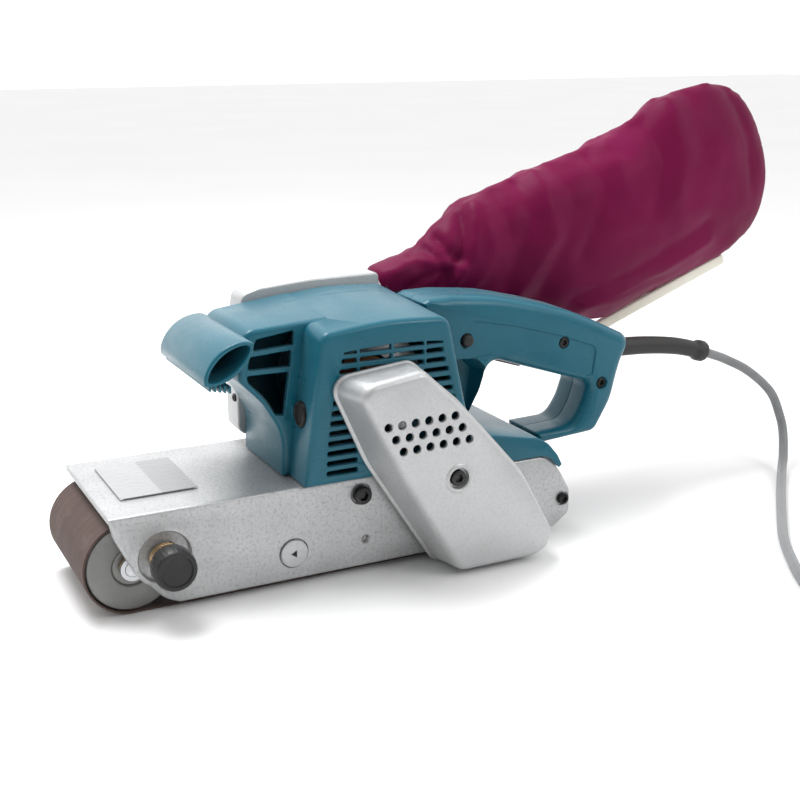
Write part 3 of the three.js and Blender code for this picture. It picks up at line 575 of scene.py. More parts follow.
def make_cord():
    wound = coil_points()
    while not (wound[-1].y > COIL_AT[1] and wound[-1].x < COIL_AT[0] - 20):
        wound.pop()
    path = [*spline(CORD_LINE, 96), *wound, *tail_points(wound[-1])]
    data = bpy.data.curves.new("mains_lead", "CURVE")
    data.dimensions = "3D"
    track = data.splines.new("POLY")
    track.points.add(len(path) - 1)
    for point, place in zip(track.points, path):
        point.co = (*(place * MM), 1)
    data.bevel_depth = CORD_RADIUS * MM
    data.bevel_resolution = 4
    data.use_fill_caps = True
    lead = bpy.data.objects.new("mains_lead", data)
    bpy.context.collection.objects.link(lead)
    track.use_smooth = True
    piece(lead, "root", CORD, "grey_cord", "cord", "cord_coil")

    plug = solid("plug_body", swept_plug())
    piece(plug, "root", BLACK, "black_plastic", "mains_plug")
    pin = [(PLUG_AT.x + 6, 2.4), (PLUG_AT.x + 25.4, 2.4), (PLUG_AT.x + 27, 1.4)]
    pins = solid("plug_pins", *[
        turned(pin, (PLUG_AT.y + y, PLUG_AT.z), "x", 20) for y in (-9.5, 9.5)
    ])
    piece(pins, "root", STEEL, "steel")
    tie = solid("coil_strap", *strap_stacks())
    piece(tie, "root", BLACK, "black_plastic", "cord_tie")

    guard_line = [(190.5, 0, 94), (206, 0, 94.2), (230, 0, 93), (255, 0, 89.6), (277.4, 0, 83.5)]
    radii = [7.6 if k < 3 else 6.1 - 0.9 * k / 60 for k in range(61)]
    for k in range(54, 61):
        radii[k] = 5.2 + 1.6 * smoothstep((k - 54) / 2.5)
    radii[60] = 6.2
    guard = solid("cord_sleeve", swept(spline(guard_line, 60), radii, 32))
    piece(guard, "root", RUBBER, "black_rubber", "cord_guard", smooth=40)


def swept_plug():
    """Two-pin plug body: rounded sections from the cord's end to the pin face."""
    sections = [
        (-42, 4.4, 4.4), (-41, 5.4, 5.2), (-30, 6.6, 5.8), (-20, 10, 6.3), (-12, 14.5, 6.7),
        (-4, 16, 6.75), (5, 16, 6.75), (7.4, 15.4, 6.3), (8, 14.4, 5.6),
    ]
    return [
        [(PLUG_AT.x + along, PLUG_AT.y + y, PLUG_AT.z + z) for y, z in squared(wide, tall, 0.55, 0.55, 40)]
        for along, wide, tall in sections
    ]


def strap_stacks():
    """A flat strap round the coil's +X side, as four overlapping bands."""
    x0, x1 = COIL_AT[0] + 25.5, COIL_AT[0] + 44.5
    y0, y1 = COIL_AT[1] - 4, COIL_AT[1] + 4
    return [
        block(x0 - 1.1, x1 + 1.1, y0, y1, 0.05, 1.0, 0.3),
        block(x0 - 1.1, x1 + 1.1, y0, y1, 20.3, 21.3, 0.3),
        block(x0 - 1.1, x0 - 0.2, y0, y1, 0.3, 21, 0.3),
        block(x1 + 0.2, x1 + 1.1, y0, y1, 0.3, 21, 0.3),
    ]


# ---------------------------------------------------------------- belt, rollers and frame

def make_belt():
    inner = BELT_RADIUS - 1
    chamfer = BELT_RADIUS - 0.3
    edge = BELT_HALF_WIDTH
    section = (
        (BELT_RADIUS, -edge + 0.2), (BELT_RADIUS, edge - 0.2), (chamfer, edge), (inner, edge),
        (inner, -edge), (chamfer, -edge),
    )
    loop = []
    for centre, start in ((HALF_BASE, -math.pi / 2), (-HALF_BASE, math.pi / 2)):
        for k in range(33):
            angle = start + math.pi * k / 32
            c, s = math.cos(angle), math.sin(angle)
            loop.append([(centre + r * c, y, AXLE_Z + r * s) for r, y in section])
    belt = solid("sanding_belt", loop, endless=True)
    piece(belt, "root", ABRASIVE, "abrasive_cloth", "abrasive_belt", smooth=50)


def make_rollers():
    front = (-HALF_BASE, AXLE_Z)
    rear = (HALF_BASE, AXLE_Z)
    drum = solid("front_drum", turned([
        (-36.2, 6.4), (-36.2, 9.6), (-36.9, 10.2), (-37.3, 11), (-37.3, 22.6), (-36.6, 23.4),
        (36.6, 23.4), (37.3, 22.6), (37.3, 11), (36.9, 10.2), (36.2, 9.6), (36.2, 6.4),
    ], front, sides=96))
    piece(drum, "front_roller", DRUM, "roller_alloy", "idler_roller")
    bush = solid("front_bush", turned([
        (-37.2, 4.4), (-37.6, 4.6), (-37.6, 5.6), (-37.2, 6.1), (37.2, 6.1), (37.6, 5.6), (37.6, 4.4),
    ], front))
    piece(bush, "front_roller", BRONZE, "bronze", "idler_bush")
    tread = solid("rear_drum", turned([
        (-32.4, 8.2), (-32.5, 22.9), (-31.8, 23.7), (35.3, 23.7), (36, 22.9), (36, 8.2),
    ], rear, sides=96, shape=lambda a, along: 1 - 0.012 * max(0, math.cos(16 * a)) ** 12))
    piece(tread, "rear_roller", RUBBER, "black_rubber", "drive_roller")


def make_frame():
    wall = [
        (-126, 55), (-124.1, 44.5), (-114.5, 23.6, 60), (-99.5, 7.2, 16), (-92, 4),
        (135, 3.5, 6), (145.5, 11, 5), (145.5, 25, 8), (137, 40, 20), (127, 48.5, 12), (84, 48.5),
        (84, 55),
    ]
    casting = solid("frame_casting", slab(wall, WALL_Y, WALL_Y + 4, 1.6, 0.6))
    join(
        casting,
        block(-126, 84, WALL_Y + 1.7, 47, 51.5, DECK_TOP, 0.9),
        block(-50, 56, WALL_Y + 3, 36, 6, 10, 0.5),
        block(-50, -46, WALL_Y + 3, 20, 6, 52.5, 0.5),
        block(44, 48, WALL_Y + 3, 20, 6, 52.5, 0.5),
        rod(14, -44, -38.3, (HALF_BASE, AXLE_Z), sides=64, edge=0.6),
        turned([(-48, 13.4), (-47.4, 15), (-41, 15)], MOTOR_BOSS_AT, sides=64),
        turned([(-45.9, 13.9), (-45.6, 14.9), (-44.6, 16.4), (-43, 16.4)], KNOB_AT, sides=64),
    )
    cut(
        casting,
        turned([(-48, 14.2), (-45.9, 14.2), (-45.2, 13.5), (-42.6, 13.5)], KNOB_AT, sides=64),
        rod(3.3, -43, -38, KNOB_AT),
        turned([(-47, 8.3), (-45, 8.3), (-44.2, 7.9), (-43.9, 7.9)], PLUG_HOLE_AT),
        turned([(-47, 3.0), (-45.1, 3.0), (-44.4, 2.25), (-40, 2.25)], (12.6, 19), sides=20),
        turned([(-47, 6.2), (-45.1, 6.2), (-44.2, 5.4), (-43.6, 5.4)], TOP_SCREW_AT),
        rod(2.8, -46, -39, TOP_SCREW_AT),
        rod(4.4, -46, -44, REAR_SCREW_AT),
        rod(11.3, -49, -40, MOTOR_BOSS_AT, sides=48),
        rod(11.3, -43.3, -37, (HALF_BASE, AXLE_Z), sides=48),
        rod(4.3, -52, -44, (0, AXLE_Z), "x"),
    )
    piece(casting, "root", SILVER, "cast_aluminium", "base_frame", smooth=38)

    label = solid("label_plate", slab(rectangle(-114, -73, -22, 31, 2), 0, 0.9, 0.1, 0.3))
    flat_to_deck(label, DECK_TOP + 0.3)
    piece(label, "root", PLATE, "cast_aluminium", "name_plate")
    rim = solid("label_rim", *frame_bars(-114, -73, -22, 31, DECK_TOP + 0.1, DECK_TOP + 1.0, 0.9))
    piece(rim, "root", SMOOTH_SILVER, "cast_aluminium")

    plug = solid("wall_plug", turned([
        (-42, 5.6), (-44.6, 5.6), (-44.8, 7.2), (-45.8, 7.6), (-46.4, 7.3), (-46.6, 6.6),
    ][::-1], PLUG_HOLE_AT, sides=64))
    cut(plug, tray([(-31.9, 19), (-28.3, 16.9), (-28.3, 21.1)], [(-48, 0), (-45.4, 0)]))
    piece(plug, "root", SMOOTH_SILVER, "cast_aluminium", "arrow_plug")
    mark = solid("plug_mark", tray([(-31.7, 19), (-28.4, 17.1), (-28.4, 20.9)], [(-45.6, 0), (-45.3, 0)]))
    piece(mark, "root", BLACK, "black_plastic")


def flat_to_deck(obj, z):
    """Lays a slab built in XZ, from y = 0 up, flat on a level of the frame."""
    for vertex in obj.data.vertices:
        x, y, depth = vertex.co
        vertex.co = (x, depth, z * MM + y)
    obj.data.flip_normals()


def frame_bars(x0, x1, y0, y1, z0, z1, wide):
    return [
        block(x0, x1, y0, y0 + wide, z0, z1, 0.3),
        block(x0, x1, y1 - wide, y1, z0, z1, 0.3),
        block(x0, x0 + wide, y0 + wide - 0.3, y1 - wide + 0.3, z0, z1, 0.3),
        block(x1 - wide, x1, y0 + wide - 0.3, y1 - wide + 0.3, z0, z1, 0.3),
    ]


# ---------------------------------------------------------------- screws, knob and lever

def hexagon(angle):
    part = angle % (math.pi / 3) - math.pi / 6
    return math.cos(math.pi / 6) / math.cos(part)


def make_screw(name, node, at, head, radius, depth, axis="y"):
    """A socket screw: chamfered head with a six-sided recess."""
    socket = radius * 0.5
    profile = [
        (head + depth * 0.6, socket * 0.9), (head + 0.25, socket), (head, socket * 1.12),
        (head, radius * 0.8), (head + 0.3, radius * 0.95), (head + 0.8, radius),
        (head + depth, radius), (head + depth, radius * 0.5), (head + depth + 3, radius * 0.5),
    ]

    recess = turned(profile[:3], at, axis, 48, lambda angle, along: 1.1 * hexagon(angle))
    head_and_shank = turned(profile[3:], at, axis, 48)
    piece(solid(name, recess + head_and_shank), "root", SCREW, "dark_screw", node)


def make_screws():
    make_screw("screw_frame_top", "housing_screw", TOP_SCREW_AT, -49, 5, 3.4)
    make_screw("screw_frame_rear", "frame_screw", REAR_SCREW_AT, -47.4, 3.4, 2.2)
    make_screw("screw_cover", "cover_screw", COVER_SCREW, -76.1, 4.4, 3.0)
    make_screw("screw_duct", "duct_screw", (36.4, 83.6), -31.6, 2.4, 1.2, "x")
    make_screw("screw_handle_front", "handle_screw_a", HANDLE_SCREWS[0], -17.4, 3.1, 2.2)
    make_screw("screw_handle_rear", "handle_screw_b", HANDLE_SCREWS[1], -17.4, 3.1, 2.2)


def make_knob():
    def flutes(angle, along):
        if -64.5 < along < -55:
            return 1 - 0.018 * (0.5 + 0.5 * math.cos(28 * angle)) ** 2
        return 1

    knob = solid("knob_body", turned([
        (-54, 3.4), (-54, 8.6), (-54.3, 9.6), (-55.2, 10.2), (-55.6, 10.9), (-56.4, 11), (-63.6, 11),
        (-64.2, 10.7), (-65.4, 10.4), (-66, 9.8), (-66, 8.2), (-65.2, 7.7), (-65, 3.6), (-65.1, 0.3),
    ], KNOB_AT, sides=112, shape=flutes))
    piece(knob, "knob", BLACK, "black_plastic", "tracking_knob", smooth=45)

    wire = []
    turns, steps = 4.2, 24
    for k in range(int(turns * steps) + 1):
        angle = 2 * math.pi * k / steps
        along = -53.1 + 9.6 * k / (turns * steps)
        x, z = KNOB_AT[0] + 7.4 * math.cos(angle), KNOB_AT[1] + 7.4 * math.sin(angle)
        wire.append(Vector((x, along, z)))
    spring = solid("knob_spring", swept(wire, [0.85] * len(wire), 12))
    piece(spring, "root", BRONZE, "bronze", "tracking_spring", smooth=60)


def make_lever():
    arm = solid("lever_arm", turned([(19, 5.4), (19.6, 6), (30.4, 6), (31, 5.4)], (-44, 30), "z", 48))
    join(
        arm,
        slab([(-44, 20.5, 1), (2, 21.5, 1), (2, 28.5, 1), (-44, 29.5, 1)], 27, 33, 1.2, 1.2),
        slab([(0, 20, 3), (12, 20, 3), (12, 30, 3), (0, 30, 3)], 27, 36, 1.2, 1.2),
    )
    cut(arm, rod(2.3, 18, 32, (-44, 30), "z"))
    piece(arm, "lever", BLACK, "black_plastic", "release_lever")


# ---------------------------------------------------------------- housing, grip and duct

HOUSING = [
    (-23.6, 55.3, 1), (80, 55.3, 1), (71, 91.1, 40), (60.5, 138.6, 8), (24, 140.4, 150), (-13.3, 136.4, 6),
]
NECK = [
    (-27.5, 55.3, 1), (0, 55.3), (0, 138.4), (-44, 137, 8), (-50, 131, 4),
    (-50, 110.4, 4), (-36.9, 96.8, 30), (-26.2, 78.3, 30),
]
SLOT_PITCH = 5.4
SLOT_HALF = 1.35
FIRST_SLOT_Z = 61.7


def grip_section(grow=0.0, count=56):
    """Two arcs between the bar's rear top edge and its front bottom edge."""
    along = Vector((-26, -19)).normalized()
    rear = Vector((-48, 135)) - along * grow
    front = Vector((-74, 116)) + along * grow
    chord = front - rear
    across = Vector((chord.y, -chord.x)).normalized()
    points = []
    for k in range(count):
        side = 1 if k < count // 2 else -1
        t = k / (count / 2) if side > 0 else 2 - k / (count / 2)
        bulge = ((7 if side > 0 else 8) + grow) * math.sin(math.pi * t) ** 0.6
        points.append(rear + chord * t - across * side * bulge)
    return points


def grip_stack(stations):
    return [[(p.x, y, p.y) for p in grip_section(grow)] for y, grow in stations]


def grille_slots():
    """Rows of slots up the near face, split by three ribs, with the top row under the arch."""
    ribs = (7.0, 26.7, 45.9)
    slots = []
    for k in range(12):
        z = FIRST_SLOT_Z + SLOT_PITCH * k
        left = -11.9 + 8.9 * ((z - 60) / 62) ** 1.6
        right = 56.5 + (125.9 - z) * 0.24
        if z < 112:
            spans = [(left, ribs[0] - 0.8)]
            if z > 94:
                spans.append((45, right))
        else:
            edges = [left, *ribs, right]
            spans = [(a + 0.7, b - 0.7) for a, b in zip(edges, edges[1:])]
        for a, b in spans:
            corners = rectangle(a, b, z - SLOT_HALF, z + SLOT_HALF, 1.1)
            slots.append(opening(corners, -52, -45.5, HOUSING_NEAR_Y))
    for a, b in ((-1.2, 6.2), (7.8, 25.9), (27.5, 45.1), (46.7, 56.6)):
        low = 124.7
        tops = [125.3 + 2.2 * math.sin(math.pi * (x + 6) / 68) for x in (a, b)]
        corners = [(a, low, 0.5), (b, low, 0.5), (b, tops[1], 0.5), (a, tops[0], 0.5)]
        slots.append(opening(corners, -52, -45.5, HOUSING_NEAR_Y, 0.3))
    return slots


def top_rise(y):
    return TOP_RISE * (y - HOUSING_NEAR_Y) / (HOUSING_FAR_Y - HOUSING_NEAR_Y)


def risen(rings):
    """The housing's top rises from its near edge to the duct, less towards the front."""
    raised = []
    for ring in rings:
        shares = [min(max((z - 122) / 12, 0), 1) * smoothstep((x + 52) / 50) for x, _, z in ring]
        raised.append([
            (x, y, z + share * top_rise(y)) for (x, y, z), share in zip(ring, shares)
        ])
    return raised


def make_housing():
    shell = solid("housing_shell", risen(slab(HOUSING, HOUSING_NEAR_Y, HOUSING_FAR_Y, 3.2, 2)))
    join(shell, risen(slab(NECK, HOUSING_STEP_Y, HOUSING_FAR_Y - 0.2, 2.6, 2)))
    cut(shell, risen(tray(HOUSING, [(-47, 3.4), (28.6, 3.4)])))
    cut(shell, risen(tray(NECK, [(-23.6, 3.4), (28.4, 3.4)])))
    cut(shell, *grille_slots())
    cut(
        shell,
        opening([(-19.4, 127, 1), (-18.8, 134.8, 1), (-40, 132, 1.5), (-42.4, 125.8, 1)], -29, -22, -27),
        opening([(-21.4, 115.6, 1), (-20.2, 124.4, 1), (-43.6, 123, 1), (-45.4, 116, 1.5)], -29, -22, -27),
        opening([
            (-25.6, 89.6, 1), (-22, 112.9, 1), (-45.6, 113.2, 1), (-45, 109.2, 4), (-37.8, 101.4, 30),
            (-30.6, 90.4, 1),
        ], -29, -22, -27),
    )
    cut(
        shell,
        turned([(-25, 8), (-21.4, 8), (-20.8, 7.2), (-15, 7.2)], (-34, 91), "x"),
        rod(7.2, 63, 78, (-34, 96), "x"),
        grip_stack([(-60, 0.3), (HOUSING_FAR_Y + 2, 0.3)]),
        rod(2.8, -52, -46, COVER_SCREW),
        seam_groove(14.0, -46.0, 62.0),
    )
    far_vents = []
    for k in range(6):
        angle = math.pi * (2 * k + 1) / 6
        at = (24 + 24 * math.cos(angle), 96 + 24 * math.sin(angle))
        far_vents.append(rod(6.5, 27, 34, at, sides=24))
    cut(shell, *far_vents)
    piece(shell, "root", TEAL, "teal_plastic", "motor_housing", smooth=34)

    grip = solid("grip_bar", grip_stack([
        (28.5, -4.4), (28, -2.8), (-43, -2.6), (-44.6, -2.3), (-45, -1.9), (-45, -0.7), (-44.4, -0.1),
        (-43.6, 0), (29, 0), (30.8, -0.6), (31.8, -1.8), (32, -3.2),
    ]))
    piece(grip, "root", TEAL, "teal_plastic", "front_grip", smooth=50)
    ribs = []
    for k in range(5):
        x = -71 + 2.6 * k
        z = 113.2 - 0.55 * k
        ribs.append(block(x - 0.6, x + 0.6, -43.5, 29, z - 0.7, z + 3, 0.4))
    pads = solid("grip_ribs", *ribs)
    piece(pads, "root", TEAL, "teal_plastic")

    for name, node, out, way, z in (
        ("cap_front", "brush_cap_front", -20.8, 1, 91), ("cap_rear", "brush_cap_rear", 72.5, -1, 96),
    ):
        piece(solid(name, turned([
            (out + 7 * way, 6.8), (out + 0.7 * way, 6.8), (out, 6.1), (out, 5.4), (out + 0.5 * way, 5.1),
            (out + 0.9 * way, 2.2), (out + 0.6 * way, 0.2),
        ], (-34, z), "x", 64)), "root", CAP, "black_plastic", node)


def seam_groove(y, x0, x1):
    """A thin mould line along the top of the housing."""
    heights = [(x0, 137.1), (-30, 137.5), (-13, 137.3), (10, 139.3), (36, 139.75), (x1, 139.1)]
    points = spline([(x, y, z + top_rise(y)) for x, z in heights], 24)
    return swept(points, [0.28] * len(points), 6)


DUCT = [
    (-30.5, 62, 6), (58, 62, 6), (66, 74, 10), (66, 113, 8), (59, 119, 8), (59, 148.8, 3), (15, 148.4, 90),
    (-15, 146, 8), (-25.5, 143, 6), (-28, 128, 20), (-30.5, 88, 30),
]


def make_duct():
    duct = solid("duct_casting", slab(DUCT, 32.3, 53, 1.2, 4))
    join(
        duct,
        turned([(56, 10), (70.8, 10), (71.4, 10.3), (72, 9.8)], SPOUT_AT, "x", 64),
        turned([(51, 33), (53.4, 33), (54.6, 31.6)], (24, 96), "y", 96),
        turned([(52, 9), (55.4, 9), (56, 8.2)], (24, 96), "y", 48),
    )
    cut(duct, rod(8, 50, 74, SPOUT_AT, "x", 48), rod(1.6, -34, -27, (36.4, 83.6), "x", 20))
    piece(duct, "root", SMOOTH_SILVER, "cast_aluminium", "dust_duct", smooth=38)


# ---------------------------------------------------------------- drive cover and rear guard

COVER_RIM = [
    (50, 1.5, 10), (104, 1.5, 10), (113.5, 6.5, 6), (116.5, 17.5, 8), (95.5, 57.5, 60), (64.5, 93, 60),
    (35.5, 118.6, 9), (-12.5, 113.6, 9), (8.5, 66, 80),
]
COVER_FACE = [
    (54, 1.8, 10), (103, 1.8, 10), (111.8, 6.5, 6), (115, 17, 8), (93.5, 55.5, 60), (62.5, 90.5, 60),
    (33, 119.4, 8), (-8, 113.8, 8), (22, 56.4, 80),
]


def make_cover():
    cover = solid("cover_casting", leaning(COVER_RIM, COVER_FACE, [
        (-50.4, 0, 2.0), (-50.4, 0, 0.3), (-50.8, 0, 0), (-52.4, 0, 0), (-52.8, 0, 0.4), (-53.4, 0.1, 0.9),
        (-70.5, 0.86, 0.9), (-72.8, 0.94, 1.1), (-74.6, 1, 1.9), (-75.6, 1, 3.0), (-76, 1, 4.6),
    ]))
    cut(cover, leaning(COVER_RIM, COVER_FACE, [(-74, 1, 5), (-72, 1, 3.4), (-55, 0.2, 2.6), (-49, 0, 2.4)]))
    join(cover, turned([
        (-76.2, 6.2), (-76.6, 6.6), (-76.6, 7.4), (-76.2, 8.0), (-75.4, 9.0), (-71, 9.0),
    ], COVER_SCREW, sides=64))
    holes = []
    for row in range(3):
        for k in range(6):
            at = (11.3 + 4.3 * row + 7.75 * k, 91 - 7 * row + 0.25 * k)
            holes.append(turned([(-78, 2.65), (-76.05, 2.65), (-75.6, 2.3), (-70, 2.3)], at, sides=24))
    cut(cover, *holes)
    cut(cover, turned([(-78, 6.2), (-76.6, 6.2), (-76.2, 5.9), (-73.4, 5.6)], COVER_SCREW, sides=48))
    piece(cover, "root", SMOOTH_SILVER, "cast_aluminium", "drive_cover", smooth=34)


GUARD = [
    (84.4, 49), (125, 49, 12), (129.4, 47.6, 6), (137, 40.4), (139, 41.9, 1), (135.6, 48.5, 12),
    (129.1, 56, 12), (122.9, 60, 14), (92, 66.6, 20), (84.4, 66.6),
]


def make_guard():
    guard = solid("guard_shell", slab(GUARD, -45.8, 45, 1.0, 1.0))
    piece(guard, "root", TEAL, "teal_plastic", "rear_guard")


# ---------------------------------------------------------------- handle

HANDLE = [
    (61.9, 139.2, 1, 0.3), (71.7, 91.3, 40, 0.8), (77.4, 67.2, 1, 0.3), (98, 67.2, 1, 0.3),
    (105.8, 102.6, 8), (177.3, 79.1, 5), (172.4, 64.4, 30), (165.5, 53.6, 10, 0.6),
    (139.6, 52.4, 1, 0.3), (141, 45.6, 3, 0.3), (182, 47.6, 8, 0.6), (194, 66, 30), (200, 90, 60),
    (207.5, 104, 9), (160, 126.5, 200), (110, 138.6, 120), (80, 141.6, 30), (66, 141, 1, 0.3),
]
PANEL = [
    (90, 104), (105.2, 105.5, 4), (172, 83.6, 3), (177.5, 84.5, 2), (179.6, 101.4, 5), (153.8, 110.9, 90),
    (122.5, 119.9, 90), (94, 126, 8), (88, 121, 6),
]
COLUMN = [(58, 60), (99, 60), (103.6, 96, 3), (96, 103.5, 6), (58, 106)]


TRIGGER_SLOPE = -0.3176


def trigger_box(y, half_length, low, high):
    """A rectangle across the trigger's slot, square to the handle's slope."""
    corners = ((-half_length, low), (half_length, low), (half_length, high), (-half_length, high))
    places = [tilted(123, 100, TRIGGER_SLOPE, along, up) for along, up in corners]
    return [(x, y, z) for x, z in places]


def make_handle():
    for name, node, y0, y1, near, far in (
        ("handle_near", "handle_left", -18, -0.12, 6.2, 0.35),
        ("handle_far", "handle_right", 0.12, 18, 0.35, 6.2),
    ):
        half = solid(name, slab(HANDLE, y0, y1, near, far))
        slot = [trigger_box(y, 13.5, -13, 13) for y in (-6.3, 6.3)]
        tools = [slot, rod(7.1, 189, 215, (0, 94), "x", 48)]
        if name == "handle_near":
            tools.append(tray(PANEL, [(-19, -0.6), (-18.05, -0.6), (-17.2, 0), (-17.1, 0)]))
            tools.append(tray(COLUMN, [(-19, -0.8), (-18, -0.8), (-4, 2.2), (-3, 3.2)]))
            for at in HANDLE_SCREWS:
                tools.append(turned([(-19, 4.3), (-18, 4.3), (-17.3, 3.7), (-15.2, 3.6)], at))
            tools.append(turned([(-19, 5.2), (-17.3, 4.4), (-16.4, 3.9), (-10, 3.9)], LOCK_AT))
        for tool in tools:
            cut(half, tool)
        piece(half, "root", TEAL, "teal_plastic", node, smooth=34)

    rims = ((-6, 1.6), (-5.6, 0.8), (-4.6, 0.2), (-3.6, 0), (3.6, 0), (4.6, 0.2), (5.6, 0.8), (6, 1.6))
    trigger = solid("trigger_blade", [
        trigger_box(y, 13 - inset, -4.6 + inset, 4.1) for y, inset in rims
    ])
    piece(trigger, "switch_trigger", BLACK, "black_plastic", "trigger", smooth=50)
    button = solid("lock_cap", turned([
        (-8, 3.6), (-18.9, 3.6), (-19.5, 3.3), (-19.9, 2.6), (-20, 1.4), (-19.9, 0.2),
    ], LOCK_AT))
    piece(button, "lock", BLACK, "black_plastic", "lock_button", smooth=50)


# ---------------------------------------------------------------- dust bag

STRIP_SLOPE = 0.355
CLOTH_FRAMES = 20
CLOTH_REACH = 2.5 * MM

# Along the bag: x, top edge z, bottom edge z, half thickness, middle y.
BAG = [
    (60.2, 148.8, 122.6, 13.2, 46.1), (65, 149.9, 122.4, 13.4, 46), (73, 153.2, 122.2, 13.8, 45.8),
    (80, 155.6, 122.2, 14.2, 45.6), (86.5, 157.2, 122.2, 14.8, 45.4), (93, 163.4, 121.6, 16.6, 45.8),
    (101, 171.6, 120.8, 18.5, 46.2), (112, 179.6, 119, 20.4, 46.6), (123.7, 186.8, 116, 22, 47),
    (142.8, 195.6, 111.5, 23.6, 47.4), (172, 205, 106, 25, 48), (208.5, 216, 101.8, 25.6, 48),
    (229, 224, 101, 25.6, 48), (243.6, 231.8, 105.8, 25.4, 47.8), (268.7, 245.6, 114.5, 24, 47.5),
    (290, 251.2, 122, 22, 47.2), (303, 252.6, 126.6, 20.6, 47), (318, 251.6, 131.9, 18.6, 46.7),
    (330, 247, 137, 16.2, 46.5), (338, 240, 142, 13.8, 46.3), (346, 228, 147.5, 11, 46.2),
    (352, 217, 153.5, 8.4, 46.1), (356.4, 205.5, 163, 5.8, 46), (358.8, 195, 174, 3.2, 46),
    (359.4, 187, 182, 1, 46),
]

# Folds in the cloth's side: how deep, how wide, then the x, z points that each follows.
FOLDS = [
    (-4.2, 3.6, (118, 188), (111.5, 156.6), (96, 134)),
    (2.2, 4.0, (125, 184), (117.5, 153), (102, 134)),
    (-2.8, 3.0, (106.4, 177), (93.6, 167), (82, 156)),
    (-3.2, 3.0, (97.3, 170), (103, 158), (114, 151)),
    (2.0, 3.2, (63, 144.2), (84.6, 153), (112, 149)),
    (-2.2, 3.0, (88, 164), (99, 151), (103, 136)),
    (-2.4, 2.6, (70, 133), (86, 142), (98, 146)),
    (-2.6, 6.5, (138.5, 194), (143, 165)),
    (2.0, 6.0, (129, 190), (132, 156), (117, 132)),
    (-3.2, 7.5, (155.7, 199), (158, 175), (143, 134)),
    (2.8, 8.0, (168, 204), (173, 163), (151, 128)),
    (-2.6, 8.0, (182, 209), (189, 178), (170, 128)),
    (-3.0, 7.0, (206, 217), (212, 186), (196, 150)),
    (1.8, 7.0, (222, 222), (226, 190)),
    (-3.4, 8.0, (246, 236), (256, 205), (250, 176)),
    (2.6, 8.0, (268, 247), (272, 211), (266, 184)),
    (-2.2, 9.0, (284, 252), (290, 212)),
    (2.4, 6.5, (204, 114), (262, 132), (304, 149)),
    (-2.0, 5.0, (196, 120), (256, 142), (298, 161)),
    (-2.0, 7.0, (318, 246), (334, 214), (338, 184)),
]


def bag_stack(rings=110, sides=72):
    """The bag's skin: a square neck that turns into two panels sewn along their edges."""
    stations = spline([Vector((x, top, low)) for x, top, low, _, _ in BAG], rings)
    depths = spline([Vector((x, thick, y)) for x, _, _, thick, y in BAG], rings)
    stack = []
    for (x, top, low), (_, thick, middle) in zip(stations, depths):
        flat = smoothstep((x - 62) / 34)
        ring = squared(thick, (top - low) / 2, 0.45 + 0.75 * flat, 0.45 + 0.5 * flat, sides, -1)
        stack.append([(x, middle + out, (top + low) / 2 + up) for out, up in ring])
    return stack


def fold_depth(place):
    """How far the cloth stands out, in millimetres, beside the folds."""
    depth = 0.0
    for height, width, *line in FOLDS:
        nearest = 1e9
        for a, b in zip(line, line[1:]):
            a, b = Vector(a), Vector(b)
            t = min(max((place - a).dot(b - a) / (b - a).length_squared, 0), 1)
            nearest = min(nearest, (place - a - (b - a) * t).length)
        if nearest < 4 * width:
            depth += height * math.exp(-(nearest / width) ** 1.4)
    return depth


def crease(bag):
    """Moves the cloth in and out beside its folds, less towards the sewn edges."""
    moves = []
    for vertex in bag.data.vertices:
        x, y, z = vertex.co / MM
        side = 1 if vertex.normal.y > 0 else -1
        place = Vector((x + (3.5 if side > 0 else 0), z - (4 if side > 0 else 0)))
        reach = smoothstep((x - 62) / 12) * smoothstep(abs(vertex.normal.y) * 1.6)
        slack = noise.noise(Vector((x * 0.02, z * 0.025, side * 5.0))) * 2.0
        slack += noise.noise(Vector((x * 0.07, z * 0.06, side * 9.0))) * 0.5
        moves.append(vertex.normal * ((fold_depth(place) + slack) * reach * MM))
    for vertex, move in zip(bag.data.vertices, moves):
        vertex.co += move


def make_bag():
    bag = solid("bag_cloth", bag_stack())
    remesh = bag.modifiers.new("remesh", "REMESH")
    remesh.mode = "VOXEL"
    remesh.voxel_size = 0.0045
    settle(bag)
    billow(bag)
    smooth = bag.modifiers.new("smooth", "SUBSURF")
    smooth.levels = 1
    smooth.render_levels = 1
    settle(bag)
    crease(bag)
    piece(bag, "bag", CLOTH, "bag_cloth", "dust_bag", smooth=180)

    mouth = solid("bag_mouth", turned([
        (64, 10.4), (64, 11.6), (71.4, 11.6), (72, 11.2), (72, 10.4),
    ], SPOUT_AT, "x", 48))
    piece(mouth, "bag", BLACK, "black_plastic", "bag_collar")

    strip = solid("bag_strip", tilted_strip(112, 7.0, 5.6))
    piece(strip, "fastener", CREAM, "cream_plastic", "bag_fastener")


def tilted_strip(length, tall, wide):
    """The closing strip: a slim rounded channel along the bag's lower edge."""
    rings = []
    for u, shrunk in ((-0.5, 0.6), (-0.495, 0.15), (-0.48, 0), (0.48, 0), (0.495, 0.15), (0.5, 0.6)):
        ring = []
        for y, w in squared(wide / 2 - shrunk, tall / 2 - shrunk, 0.5, 0.5, 24):
            x, z = tilted(276, 113.8, STRIP_SLOPE, u * length, w)
            ring.append((x, 47 + y, z))
        rings.append(ring)
    return rings


